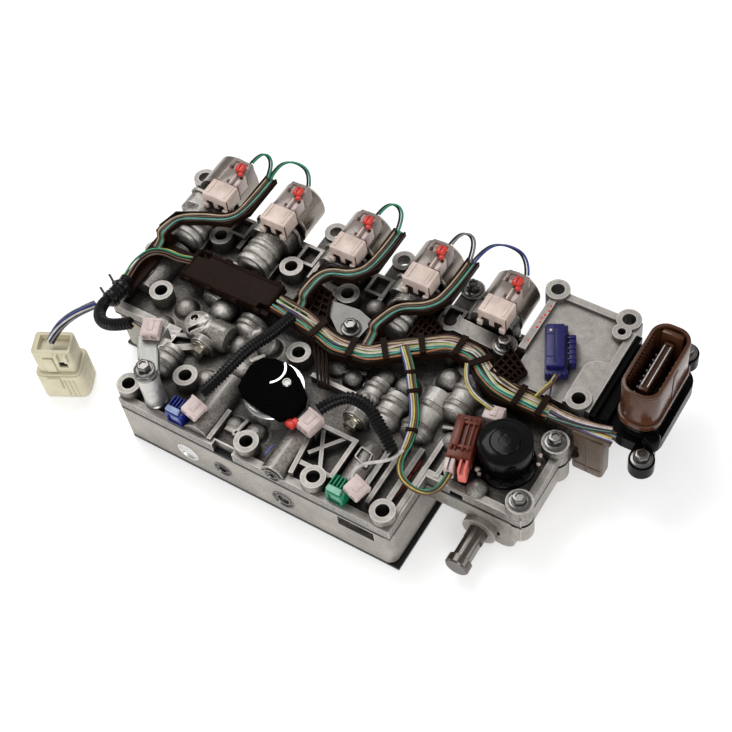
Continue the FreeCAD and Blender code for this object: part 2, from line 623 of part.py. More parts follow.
# Plugs, spools and springs of the three bores in the front face
spool_steps = [(0, 1), (6, 1), (6, 0.6), (11, 0.6), (11, 1), (19, 1), (19, 0.6), (23, 0.6), (23, 1)]
for side, (n, x, r) in zip(("left", "middle", "right"), BORES):
    fit = "(%s - fit_clear)" % r
    dish = "0.55 * %s" % r
    node("bore_plug_" + side, turned("bore_plug_" + side, [
        ("0", "1.2" if side != "left" else "0.3"), (dish, "1.2" if side != "left" else "0.3"), (dish, "0"),
        (fit, "0"), (fit, "plug_deep"), ("0", "plug_deep"),
    ], x, "front_y + plug_recess", "bore_z", "y"))
    profile = [("0", "0")] + [("%s * %s" % (share, fit), "%s" % height) for height, share in spool_steps]
    profile += [(fit, "spool_long"), ("0", "spool_long")]
    spool_front = "front_y + bore_deep - spool_long - spool_gap"
    node("spool_" + side, turned("spool_" + side, profile, x, spool_front, "bore_z", "y"))
    spring_long = value("bore_deep - spool_long - spool_gap - plug_recess - plug_deep - 0.2")
    coil_r = value(fit) - value("spring_wire") - 0.3
    coil = Part.makeHelix(spring_long / value("spring_turns"), spring_long - value("spring_wire"),
        coil_r)
    half = value("spring_wire") / 2
    corners = [Vector(coil_r + a * half, 0, b * half)
        for a, b in ((-1, -1), (1, -1), (1, 1), (-1, 1), (-1, -1))]
    spring = shaped("spring_" + side,
        Part.Wire(coil).makePipeShell([Part.makePolygon(corners)], True, True))
    spring.Placement = Placement(Vector(), ALONG["y"])
    place(spring, x, "front_y + plug_recess + plug_deep + 0.1 + spring_wire / 2", "bore_z")
    node("spring_" + side, spring)

node("deck_bore_plug", turned("deck_bore_plug", [
    ("0", "2"), ("2.5", "2"), ("2.5", "0"), ("deck_plug_r - fit_clear", "0"),
    ("deck_plug_r - fit_clear", "plug_deep"), ("0", "plug_deep"),
], "deck_plug_x", "front_y + plug_recess", "deck_plug_z", "y"))

# Manual valve: a grooved shaft with a disc on its outer end
VALVE = "(valve_out + valve_in)"
shaft = "valve_r"
slim = "0.62 * valve_r"
valve_round = turned("valve_round", [
    ("0", "0"), ("valve_end_r - 1", "0"), ("valve_end_r", "1"), ("valve_end_r", "valve_end_thick"),
    (shaft, "valve_end_thick"), (shaft, "valve_out + 24"), (slim, "valve_out + 24"),
    (slim, "valve_out + 32"), (shaft, "valve_out + 32"), (shaft, "valve_out + 44"),
    (slim, "valve_out + 44"),
    (slim, "valve_out + 54"), (shaft, "valve_out + 54"), (shaft, VALVE), ("0", VALVE),
], "valve_x", "valve_face_y - valve_out", "valve_z", "y")
valve_flats = [
    box("valve_flat_" + side, "valve_x + (%s)" % shift, "valve_face_y - valve_out + valve_end_thick",
        "valve_z - 10", 10, "valve_flat_long", 20)
    for side, shift in (("left", "0 - valve_flat - 10"), ("right", "valve_flat"))
]
node("manual_valve", cut("manual_valve", valve_round, valve_flats))

# Solenoids: cans, stepped noses, plug connectors and their locks
for n in range(5):
    node("solenoid_can_%d" % (n + 1), turned("solenoid_can_%d" % (n + 1), [
        ("0", "0"), ("can_r", "0"), ("can_r", "can_long - can_edge"), ("can_r - can_edge", "can_long"),
        ("0", "can_long"),
    ], sol_x[n], "can_front_y", "sol_z", "y"))


def nose(n):
    """The block behind the back wall, the neck through it and, on some, the ringed nose."""
    back = PAD_BACKS[n]
    front = NOSE_FRONTS[n]
    body = rounded(
        "nose_block_%d" % n,
        box("nose_box_%d" % n, sol_x[n] + " - pad_wide / 2", back + " - pad_thick", "sol_z - pad_high / 2",
            "pad_wide", "pad_thick", "pad_high"),
        "pad_corner", top_along_y)
    pieces = [body]
    if back != CAN_FRONT:
        pieces.append(rounded(
            "nose_lip_%d" % n,
            box("nose_lip_box_%d" % n, sol_x[n] + " - pad_wide / 2 - lip_out", back, "sol_z - pad_high / 2",
                "pad_wide + 2 * lip_out", "lip_thick", "pad_high + lip_out"),
            "pad_corner", top_along_y))
        pieces.append(rod("nose_neck_%d" % n, "neck_r", CAN_FRONT + " - (%s)" % back, sol_x[n], back,
            "sol_z", "y"))
    if NOSES[n] != "none":
        long = "(%s - pad_thick - (%s))" % (back, front)
        ring_in = "nose_r - groove_deep"
        profile = [("0", "0"), ("nose_r - 3", "0"), ("nose_r - 1.5", "1.5"), ("nose_r", "1.5")]
        if n in LONG_NOSES:
            for start in (6, 14):
                profile += [("nose_r", "%d" % start), (ring_in, "%d" % start),
                    (ring_in, "%d" % (start + 2)), ("nose_r", "%d" % (start + 2))]
        profile += [("nose_r", long), ("0", long)]
        pieces.append(turned("nose_turned_%d" % n, profile, sol_x[n], front, "sol_z", "y"))
    return fuse("nose_%d" % n, pieces) if len(pieces) > 1 else pieces[0]


node("solenoid_noses", group("solenoid_noses", [nose(n) for n in range(5)]))


def conn_mid(n):
    return "(%s + %s)" % (sol_x[n], "first_conn_shift" if n == 0 else "conn_shift")


def connector(n):
    """A stepped plug that rests on the nose block and saddles the can."""
    mid = conn_mid(n)
    low = "sol_z + pad_high / 2"
    front = CAN_FRONT + " - conn_long - 1"
    pieces = [
        box("conn_front_%d" % n, mid + " - conn_wide / 2", front, low, "conn_wide", "conn_long",
            "conn_top - 1 - (%s)" % low),
        box("conn_tail_%d" % n, mid + " - tail_wide / 2", CAN_FRONT + " - 2", low, "tail_wide", "tail_long",
            "conn_top - (%s)" % low),
        box("conn_key_%d" % n, mid + " - 2.5", front + " - 1.5", low + " + 3", 5, 3, 6),
        box("conn_latch_%d" % n, mid + " - 3", front + " + 3", "conn_top - 2", 6, 10, 2.5),
    ]
    if NOSES[n] == "none":
        pieces = pieces[:2] + pieces[3:]
    tools = [rod("conn_saddle_%d" % n, "can_r + conn_gap", 60, sol_x[n], CAN_FRONT + " - 0.1", "sol_z",
        "y")]
    if PAD_BACKS[n] != CAN_FRONT:
        tools.append(box(
            "conn_lip_room_%d" % n, sol_x[n] + " - pad_wide", PAD_BACKS[n] + " - conn_gap", low + " - 1",
            "2 * pad_wide", "lip_thick + 2 * conn_gap", "1 + lip_out + conn_gap"))
    return cut("connector_%d" % n, fuse("connector_solid_%d" % n, pieces), tools)


node("solenoid_connectors", group("solenoid_connectors", [connector(n) for n in range(5)]))
node("lock_clips", group("lock_clips", [
    fuse("lock_clip_%d" % n, [
        box("clip_base_%d" % n, conn_mid(n) + " + 0.5", CAN_FRONT + " + 9", "conn_top", "clip_wide", 7,
            2.2),
        box("clip_ear_%d" % n, conn_mid(n) + " + clip_wide - 0.5", CAN_FRONT + " + 5", "conn_top", 3, 5,
            1.4),
    ]) for n in range(5)
]))

# Hold-down plate beside the third solenoid
node("hold_down_plate", cut("hold_down_plate", slab("hold_plate", [
    ("at_plate_hold_x - 5", "at_plate_hold_y - 7.5"), ("at_plate_hold_x + 8", "at_plate_hold_y - 5"),
    ("at_plate_hold_x + 10", "at_plate_hold_y + 11"), ("at_plate_hold_x - 3", "at_plate_hold_y + 15"),
    ("at_plate_hold_x - 24", "at_plate_hold_y + 13"), ("at_plate_hold_x - 24", "at_plate_hold_y + 7"),
], BOSS_TOP, "hold_thick"),
    [rod("hold_hole", "bolt_r + bolt_clear", 10, *at("plate_hold"), BOSS_TOP + " - 3")]))



def pocket_corner(edge):
    """The one corner of the unit's raised pocket that stands free."""
    if not upright(edge):
        return False
    return edge.Vertexes[0].X < value("unit_right - 10") and edge.Vertexes[0].Y > value("unit_front + 10")


# Control unit on the raised rim of the wing
unit_parts = [
    slab("unit_base", [
        ("unit_left", "unit_front"), ("unit_right", "unit_front"), ("unit_right", "unit_back"),
        ("unit_left - 5.5", "unit_back"), ("unit_left - 5.5", "unit_front + 23"),
        ("unit_left", "unit_front + 23"),
    ], RIM, "unit_thick"),
    box("unit_back_ledge", "unit_left - 5.5", "unit_back - unit_rim", RIM, "unit_right - unit_left + 5.5",
        "unit_rim", "unit_thick + unit_rim_high"),
    box("unit_left_ledge", "unit_left - 5.5", "unit_front + 23", RIM, "unit_rim",
        "unit_back - unit_front - 23", "unit_thick + unit_rim_high"),
    box("unit_right_ledge", "unit_right - unit_rim", "unit_front + 30", RIM, "unit_rim",
        "unit_back - unit_front - 30", "unit_thick + unit_rim_high"),
    rounded("unit_pocket",
        box("unit_pocket_box", "unit_right - 18", "unit_front", RIM, 18, 37, "unit_thick + unit_rim_high"),
        "2 * unit_rim", pocket_corner),
    rod("unit_small_boss", 6, "unit_boss_high", "at_unit_back_x", "at_unit_back_y - 10.5", RIM),
]
unit_parts += [rod("unit_boss_" + n, "unit_boss_r", "unit_boss_high", *at(n), RIM)
    for n, x, y in UNIT_HOLES]
unit_tools = [rod("unit_hole_" + n, "boss_hole_r", "unit_boss_high + 2", *at(n), RIM + " - 1")
    for n, x, y in UNIT_HOLES]
unit_tools.append(rod("unit_small_hole", 2.6, 12, "at_unit_back_x", "at_unit_back_y - 10.5",
    RIM + " + unit_boss_high - 11"))
node("control_unit", cut("control_unit", fuse("unit_solid", unit_parts), unit_tools))

# Degrees by which the connectors on the wing are turned in plan
UNIT_PLUG_TURN = 27.3
RANGE_TURN = 15.5
unit_plug = rounded("unit_plug_body",
    block("unit_plug_box", "unit_left + 17.5", "unit_front + 30", RIM + " + unit_thick", 14.5, 37, 10,
        UNIT_PLUG_TURN),
    1.5, upright)
unit_plug_side = block("unit_plug_side", "unit_left + 26", "unit_front + 34", RIM + " + unit_thick", 6, 22,
    7, UNIT_PLUG_TURN)
node("unit_connector", fuse("unit_connector", [unit_plug, unit_plug_side]))
node("unit_bracket", fuse("unit_bracket", [
    slab("bracket_plate", [
        ("unit_right + seat_clear", "unit_front"), ("case_x - case_wide / 2 - 4", "unit_front + 4"),
        ("case_x - case_wide / 2 - 4", "unit_front + 60"), ("unit_right + seat_clear", "unit_front + 66"),
    ], "case_flange_z + case_flange_thick", 5),
    box("bracket_wall", "unit_right + seat_clear", "unit_front", RIM, "bracket_wall", 66, 11),
]))


def oval(name, long_x, long_y, low, high, corner):
    """A rounded upright block about the middle of the case connector."""
    return rounded(name, block(name + "_box", "case_x", "case_y", low, long_x, long_y, high), corner,
        upright)


flange_parts = [
    oval("case_flange_plate", "case_wide + 8", "case_long + 8", "case_flange_z", "case_flange_thick", 12),
    slab("case_flange_arm", [
        ("unit_right + 1", "unit_front + 4"), ("case_x", "unit_front + 4"), ("case_x", "unit_front + 60"),
        ("unit_right + 1", "unit_front + 60"),
    ], "case_flange_z", "case_flange_thick"),
]
flange_parts += [rod("case_lug_" + n, "boss_r", "case_flange_thick", *at(n), "case_flange_z")
    for n in ("case_front", "case_rear")]
flange_parts += [
    block("case_lug_web_front", "at_case_front_x - 2", "at_case_front_y + 5", "case_flange_z", 12, 12,
        "case_flange_thick"),
    block("case_lug_web_rear", "at_case_rear_x", "at_case_rear_y - 7", "case_flange_z", 12, 14,
        "case_flange_thick"),
]
flange_tools = [
    rod("case_bolt_" + n, "bolt_r + bolt_clear", "case_flange_thick + 2", *at(n), "case_flange_z - 1")
    for n in ("case_front", "case_rear")
]
flange_tools.append(box("case_unit_clear", "unit_right - 20", 0, 30, "20 + bracket_wall + 2 * seat_clear",
    200, 60))
node("case_flange", cut("case_flange", fuse("case_flange_solid", flange_parts), flange_tools))

flange_top = "(case_flange_z + case_flange_thick)"
neck = oval("case_neck", "case_wide - 4", "case_long - 4", flange_top, "shroud_low - %s" % flange_top, 9)
shroud = oval("case_shroud", "case_wide", "case_long", "shroud_low", "case_top - shroud_low", 10)
hollow = oval("case_hollow", "case_wide - 2 * case_wall", "case_long - 2 * case_wall", "shroud_low + 4",
    "case_top - shroud_low", 8)
blade = block("case_blade", "case_x", "case_y", "shroud_low", 6, "case_long - 18",
    "case_top - shroud_low - 6")
node("case_connector", fuse("case_connector", [neck, cut("case_shell", shroud, [hollow]), blade]))
node("case_seals", group("case_seals", [
    cut("case_seal_%d" % n,
        oval("seal_out_%d" % n, "case_wide", "case_long", flange_top + " + %s" % low, 2.4, 10),
        [oval("seal_in_%d" % n, "case_wide - 4 + 2 * fit_clear", "case_long - 4 + 2 * fit_clear",
            flange_top + " + %s" % (low - 1), 5, 9)])
    for n, low in enumerate((1.2, 5.6))
]))

# Harness frame: channels that follow the wires over the deck
first, second, third, fourth, fifth = [value(x) for x in sol_x]
row_end = value("main_right")
TRUNK = [
    (-94, 45), (-70, 42), (-41, 34.5), (-20, 38), (-2, 52), (row_end - 31, 69), (row_end - 11, 69),
    (row_end + 1, 59),
    (row_end + 13, 54), (row_end + 48, 53),
]
BRANCHES = [
    [(-193, 46), (-193, 57), (-190, 70), (-174, 78), (first + 26, 84), (first + 32, 96), (first + 32, 128)],
    [(-78, 44), (-78, 57), (-77, 70), (-72, 78), (third + 15.5, 82), (third + 24.5, 95),
        (third + 24.5, 128)],
    [(-24, 40), (-24, 57), (-18, 74), (fourth + 16, 82), (fourth + 24, 95), (fourth + 24.7, 128)],
]
low = value("frame_low_z")
step = value("frame_thick")
high = value("frame_high_z")
wall = low + step + value("bundle_high") - 1


def channel(points, width, floor, top):
    """A U-shaped run of the frame."""
    full = strip(points, width, floor, top)
    inner = strip(points, width - 2.4, floor + step, top + 1)
    return full.cut(inner)


frame_parts = [strip(TRUNK, value("trunk_wide"), low, low + step)]
frame_parts.append(channel(TRUNK, value("trunk_wide"), low, wall - 1))
for points in BRANCHES:
    frame_parts.append(channel(points[1:], value("branch_wide"), high - step, high + 1.5))
    frame_parts.append(strip(points[:2], value("branch_wide"), low, low + step))
    (x, y) = points[1]
    frame_parts.append(strip([(x, y - 3), (x, y + 1)], value("branch_wide"), low, high))
frame_parts.append(strip([(-193.5, 6), (-193.5, 62)], 13, low, low + step))
frame_parts.append(strip([(-195, 50), (-160, 50)], 9, low, low + step))
tray_long = value("duct_right - duct_left")
frame_parts.append(Part.makeBox(tray_long, value("duct_back - duct_front"), step,
    Vector(value("duct_left"), value("duct_front"), low)))
LATTICES = [[(-84, 62), (-68, 58), (-64, 68), (-80, 74)], [(-5.5, 60), (4, 66), (3, 84), (-5.5, 86)]]
for corners in LATTICES:
    outline = [Vector(x, y, low) for x, y in corners]
    frame_parts.append(Part.Face(Part.makePolygon(outline + outline[:1])).extrude(Vector(0, 0, step)))
node("harness_frame", shaped("harness_frame", frame_parts[0].fuse(frame_parts[1:]).removeSplitter()))

duct = rounded("duct_cover_block", box("duct_box", "duct_left", "duct_front", "frame_low_z + frame_thick",
                                       "duct_right - duct_left", "duct_back - duct_front", "duct_high"), 2,
               lambda edge: raised(edge, value("frame_low_z + frame_thick + duct_high")))
node("duct_cover", duct)
BUNDLE = [(-93.5, 45)] + TRUNK[1:] + [(row_end + 59, 52.5), (row_end + 73, 54.5), (row_end + 88, 60)]
node("main_bundle",
    shaped("main_bundle",
        strip(BUNDLE, value("bundle_wide"), low + step, low + step + value("bundle_high"))))
CLIPS = [
    (-57, 38.8, -14), (-30, 36.2, 8), (-11, 45, 38), (8, 59, 36), (row_end - 23, 69, 0),
    (row_end - 6, 65, -40),
    (row_end + 27, 53.6, -1), (row_end + 43, 53.2, -1),
]
clip_items = []
for n, (x, y, turn) in enumerate(CLIPS):
    clip_items.append(block("wire_clip_%d" % n, x, y, "frame_low_z + frame_thick + bundle_high", 4,
        "trunk_wide", 1.6, turn))
node("wire_clips", group("wire_clips", clip_items))

# Corrugated conduits between the frame and the connectors on the deck
CONDUITS = [
    [(-193.5, 14, 61), (-191, 2, 62), (-194, -12, 64), (-184, -26, 70), (-168, -30, 77), (-154, -24, 83)],
    [(-76, 37, 64), (-78, 20, 66), (-84, 2, 69), (-86, -14, 70), (-88, -28, 69), (-92, -40, 67)],
    [(-20, -16, 68), (-12, -4, 73), (4, 0, 73), (20, -9, 69), (33, -18, 64.5)],
    [(5, 49, 64), (16, 34, 63), (26, 20, 62), (33, 7, 63), (38, -6, 66)],
]
conduit_solids = []
for points in CONDUITS:
    solid, length, radii = tube(points, value("conduit_r"))
    conduit_solids.append(solid)
node("conduits", shaped("conduits", Part.makeCompound(conduit_solids)))

# Wire pairs between connectors and the frame
WIRES = [
    [(first + 16, 128.7, 73), (first + 19, 136, 77), (first + 26, 137, 78), (first + 31, 132, 74),
        (first + 31, 125, 69)],
    [(second + 8, 128.7, 73), (second + 5, 137, 78), (second - 9, 139, 80), (second - 20, 134, 76),
        (first + 33, 125, 69)],
    [(third + 8, 128.7, 73), (third + 11, 136, 78), (third + 19, 138, 79), (third + 24.5, 133, 75),
        (third + 24.5, 124, 69)],
    [(fourth + 8, 128.7, 73), (fourth + 10, 136, 78), (fourth + 18, 138, 79), (fourth + 23, 133, 75),
        (fourth + 24, 124, 69)],
    [(fifth + 8, 128.7, 73), (fifth + 4, 138, 79), (fifth - 12, 140, 81), (fifth - 25, 135, 77),
        (fourth + 26, 124, 69)],
    [(row_end + 40.4, 75.7, 63), (row_end + 41, 70, 64), (row_end + 39, 63, 64), (row_end + 37, 57, 62.9)],
    [(-190, 18, 57.9), (-188, 30, 58.5), (-180, 40, 59), (-166, 46, 59)],
    [(33.8, -18.8, 64), (30, -27, 61), (26, -35, 60), (25, -41.7, 60)],
    [(38.5, -7.2, 66.5), (44, -17, 63), (55, -22, 60), (65, -14.5, 57)],
    [(42, 56.9, 60.5), (47, 51, 60.2), (54, 43, 58), (63, 39, 56)],
]
wire_solids = []
for points in WIRES:
    solid, length, radii = tube(points, value("wire_r"))
    wire_solids.append(solid)
node("branch_wires", shaped("branch_wires", Part.makeCompound(wire_solids)))

# Pressure switches at the front edge and their connectors
for colour in ("blue", "green"):
    body = block(colour + "_body", colour + "_x", colour + "_y", FLOOR, "switch_wide", "switch_long",
        "switch_high")
    nipple = rod(colour + "_nipple", 3.2, 3, colour + "_x - 1", colour + "_y - 2", FLOOR + " + switch_high")
    node(colour + "_switch", fuse(colour + "_switch", [body, nipple]))
node("switch_connectors", group("switch_connectors", [
    rounded("switch_plug_" + colour, block(
        "switch_plug_box_" + colour, "%s_x + switch_wide / 2 + switch_plug / 2 + seat_clear" % colour,
        "%s_y + 3" % colour,
        BOSS_TOP + " + 1", "switch_plug", "switch_plug", 9), 1.2, upright)
    for colour in ("blue", "green")
]))

# Round cover on its can, with a connector
can = rod("cover_can", "cover_can_r", "cover_low_z - %s" % FLOOR, "cover_x", "cover_y", FLOOR)
cap = slab("cover_cap", [
    ("cover_x - 18", "cover_y - 12"), ("cover_x - 19", "cover_y + 8"), ("cover_x - 12", "cover_y + 17"),
    ("cover_x + 2", "cover_y + 17"), ("cover_x + 19", "cover_y + 8"), ("cover_x + 27", "cover_y - 1"),
    ("cover_x + 27", "cover_y - 10"), ("cover_x + 19", "cover_y - 20"), ("cover_x", "cover_y - 19"),
], "cover_low_z", "cover_high")
node("round_cover", fuse("round_cover", [can, cap]))
node("cover_connector", rounded("cover_connector", block(
    "cover_plug_box", -22, -21, "cover_plug_low_z", 14, 12, 9, -20), 1.2, upright))

# Small solenoid that lies along X in its own seat
node("small_solenoid", turned("small_solenoid", [
    ("0", "0"), ("small_head_r - 1.5", "0"), ("small_head_r", "1.5"), ("small_head_r", "small_head_long"),
    ("small_r", "small_head_long"), ("small_r", "small_head_long + small_long"),
    ("0", "small_head_long + small_long"),
], "small_x - small_head_long", "small_y", "small_z", "x"))


def bolt(name, x, y, seat, deep):
    """A flanged hex bolt whose flange rests at the level seat."""
    return fuse("bolt_" + name, [
        rod("bolt_shank_" + name, "bolt_r", deep, x, y, "%s - (%s)" % (seat, deep)),
        rod("bolt_flange_" + name, "flange_r", "flange_thick", x, y, seat),
        hexagon("bolt_head_" + name, "hex_across", "hex_high", x, y, "%s + flange_thick" % seat),
    ])


SLEEVE_TOP = "(%s + sleeve_high + bracket_thick)" % FLOOR
node("flange_bolts", group("flange_bolts", [
    bolt("lug_front", *at("lug_front"), BOSS_TOP, "bolt_deep"),
    bolt("lug_side", *at("lug_side"), BOSS_TOP, "bolt_deep"),
    bolt("arm_end", *at("arm_end"), ARM_TOP, "bolt_deep"),
    bolt("plate_hold", *at("plate_hold"), BOSS_TOP + " + hold_thick", "bolt_deep"),
    bolt("ear_fourth", *at("ear_fourth"), LUG_TOP, "lug_high + 3"),
    bolt("sleeve", *at("sleeve"), SLEEVE_TOP, "bolt_deep"),
    bolt("case_front", *at("case_front"), flange_top, "case_flange_thick"),
    bolt("case_rear", *at("case_rear"), flange_top, "case_flange_thick"),
]))
node("side_bolts", group("side_bolts", [
    fuse("side_bolt_" + name, [
        rod("side_shank_" + name, "bolt_r", "side_lug_thick - 0.5", x, y, SIDE_BOLT_Z, "y"),
        rod("side_flange_" + name, "flange_r", "flange_thick", x, "%s - flange_thick" % y, SIDE_BOLT_Z,
            "y"),
        hexagon("side_head_" + name, "hex_across", "hex_high", x, "%s - flange_thick - hex_high" % y,
            SIDE_BOLT_Z, "y"),
    ]) for name, x, y in SIDE_BOLTS
]))

# Upright sleeve with the bracket that carries a small connector
node("sensor_sleeve", turned("sensor_sleeve", [
    ("bolt_r + bolt_clear", "0"), ("sleeve_r", "0"), ("sleeve_r", "sleeve_high"),
    ("bolt_r + bolt_clear", "sleeve_high"),
], *at("sleeve"), FLOOR))
plate = cut("bracket_plate_cut", slab("sensor_plate", [
    ("at_sleeve_x - 7", "at_sleeve_y - 5"), ("at_sleeve_x + 6", "at_sleeve_y - 6"),
    ("at_sleeve_x + 6", "at_sleeve_y + 8"),
    ("at_sleeve_x - 3", "at_sleeve_y + 40"), ("at_sleeve_x - 21", "at_sleeve_y + 36"),
    ("at_sleeve_x - 19", "at_sleeve_y + 16"),
], "%s + sleeve_high" % FLOOR, "bracket_thick"),
    [rod("bracket_hole", "bolt_r + bolt_clear", 10, *at("sleeve"), "%s + sleeve_high - 4" % FLOOR)])
node("sensor_bracket", plate)
node("bracket_connector", rounded("bracket_connector", block(
    "bracket_plug_box", "at_sleeve_x - 12", "at_sleeve_y + 26", SLEEVE_TOP, 14, 18, 9, 10), 1.5, upright))

# Cap sensor and connectors on the wing
node("cap_sensor", turned("cap_sensor", [
    ("0", "0"), ("cap_base_r", "0"), ("cap_base_r", "4"), ("cap_neck_r", "5.5"),
    ("cap_neck_r", "cap_high - 12"),
    ("cap_r", "cap_high - 11"), ("cap_r", "cap_high - 2.5"), ("cap_r - 2", "cap_high"), ("0", "cap_high"),
], "cap_x", "cap_y", FLOOR))
node("cap_connector",
    rounded("cap_connector", block("cap_plug_box", "cap_x - 19.5", "cap_y + 20.5", FLOOR, 13, 11, 15, 10),
        1.2, upright))
range_body = rounded("range_body",
    block("range_box", "main_right + 12.5", 11, "range_low_z", 15, 30, 15, RANGE_TURN), 1.2, upright)
node("range_connector",
    fuse("range_connector",
        [range_body, block("range_rail", "main_right + 9", 12, "range_low_z + 14", 4, 20, 3.5, RANGE_TURN)]))
node("range_plug", group("range_plug", [
    block("range_plug_white", "main_right + 13.5", -8.6, "range_low_z + 1", 6, 8, 12, RANGE_TURN),
    block("range_plug_tab", "main_right + 21.8", -6.9, "range_low_z + 1", 5.5, 9, 13, RANGE_TURN),
]))

# Elbow that turns the wires down to the case connector
node("wire_elbow", fuse("wire_elbow", [
    slab("elbow_top", [
        ("right_x + seat_clear", 48), ("right_x + 25", 50), ("right_x + 25", 59.5),
        ("right_x + seat_clear", 59.5),
    ], "elbow_top_z - 3.5", 3.5),
    box("elbow_front", "right_x + seat_clear", 48, 16, 21, 3.5, "elbow_top_z - 16"),
    box("elbow_side", "right_x + 17.5", 48, 22, 3.5, 10, "elbow_top_z - 22"),
]))

# Free pigtail and its plug, which stands on the same surface as the part
CORD = [(-197.5, -14, 63), (-202, -22, 64), (-208, -32, 62), (-213.5, -40.5, 55.5), (-217, -45.5, 47)]
cord, cord_length, cord_radii = tube(CORD, value("cord_r"))
node("pigtail_cord", shaped("pigtail_cord", cord))
print("pigtail: length %.1f, radii %s, volume ratio %.4f" % (
    cord_length, [round(r, 1) for r in cord_radii],
    cord.Volume / (math.pi * value("cord_r") ** 2 * cord_length)))
PLUG_TURN = 26
plug_low = rounded("plug_skirt", block("plug_skirt_box", "cord_plug_x", "cord_plug_y", 0, 33, 25, 24,
    PLUG_TURN),
    6, upright)
plug_top = rounded("plug_head",
    block("plug_head_box", "cord_plug_x", "cord_plug_y", 23, 27, 18, "cord_plug_high - 23",
        PLUG_TURN),
    3, upright)
node("pigtail_plug", fuse("pigtail_plug", [plug_low, plug_top]))

# Checks and files
doc.recompute()
for item in doc.Objects:
    if "Invalid" in item.State or "Error" in item.State:
        raise RuntimeError("failed object: " + item.Name)
for item in nodes:
    if item.Shape.isNull() or not item.Shape.isValid():
        raise RuntimeError("bad shape: " + item.Label)

os.makedirs("parts", exist_ok=True)
for item in nodes:
    item.Shape.exportStep(os.path.join("parts", item.Label + ".step"))
    print(item.Label, len(item.Shape.Solids), "solids,", round(item.Shape.Volume), "mm3")
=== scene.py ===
import bpy
import math
import random
from mathutils import Matrix, Vector


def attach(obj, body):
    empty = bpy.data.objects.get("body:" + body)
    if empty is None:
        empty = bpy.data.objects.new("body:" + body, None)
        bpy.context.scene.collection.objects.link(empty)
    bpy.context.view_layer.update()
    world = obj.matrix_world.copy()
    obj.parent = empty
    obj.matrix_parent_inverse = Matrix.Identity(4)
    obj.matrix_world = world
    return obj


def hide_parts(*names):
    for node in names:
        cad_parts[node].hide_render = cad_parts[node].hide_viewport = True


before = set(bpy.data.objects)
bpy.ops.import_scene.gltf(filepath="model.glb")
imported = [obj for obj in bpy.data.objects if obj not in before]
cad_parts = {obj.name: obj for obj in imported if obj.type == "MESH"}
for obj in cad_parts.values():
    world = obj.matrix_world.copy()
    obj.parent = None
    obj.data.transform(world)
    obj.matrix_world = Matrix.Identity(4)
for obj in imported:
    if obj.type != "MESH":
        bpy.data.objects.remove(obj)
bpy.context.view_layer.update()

# Transmission valve body: finishes of the castings and everything that is wired, moulded or
# bolted on them. Lengths are written in millimetres and turned into metres by MM.
MM = 0.001
BODY = "valve_body"
random.seed(7)


def spot(x, y, z):
    return Vector((x, y, z)) * MM


def placed(name, data):
    """An object in the scene for a mesh, a curve, a lamp or the camera."""
    item = bpy.data.objects.new(name, data)
    bpy.context.scene.collection.objects.link(item)
    return item


# Camera, in the photograph's view
LENS = 71.91
SENSOR = 36.0
EYE = (322.33, -370.36, 808.73)
LOOK = Vector((-0.36953605, 0.437322, -0.81987351))
RIGHT = Vector((0.84624534, 0.52283251, -0.10254264))

camera_data = bpy.data.cameras.new("camera")
camera_data.lens = LENS
camera_data.sensor_width = SENSOR
camera_data.clip_start = 0.05
camera_data.clip_end = 20.0
camera = placed("camera", camera_data)
up = RIGHT.cross(LOOK)
camera.matrix_world = Matrix((
    (RIGHT.x, up.x, -LOOK.x, EYE[0] * MM),
    (RIGHT.y, up.y, -LOOK.y, EYE[1] * MM),
    (RIGHT.z, up.z, -LOOK.z, EYE[2] * MM),
    (0.0, 0.0, 0.0, 1.0),
))
bpy.context.scene.camera = camera
bpy.context.scene.view_settings.view_transform = "Standard"

# Materials
OPEN = (1.0, 1.0, 1.0)


def grey(level):
    return (level, level, level)


def scaled(colour, share):
    return tuple(channel * share for channel in colour)


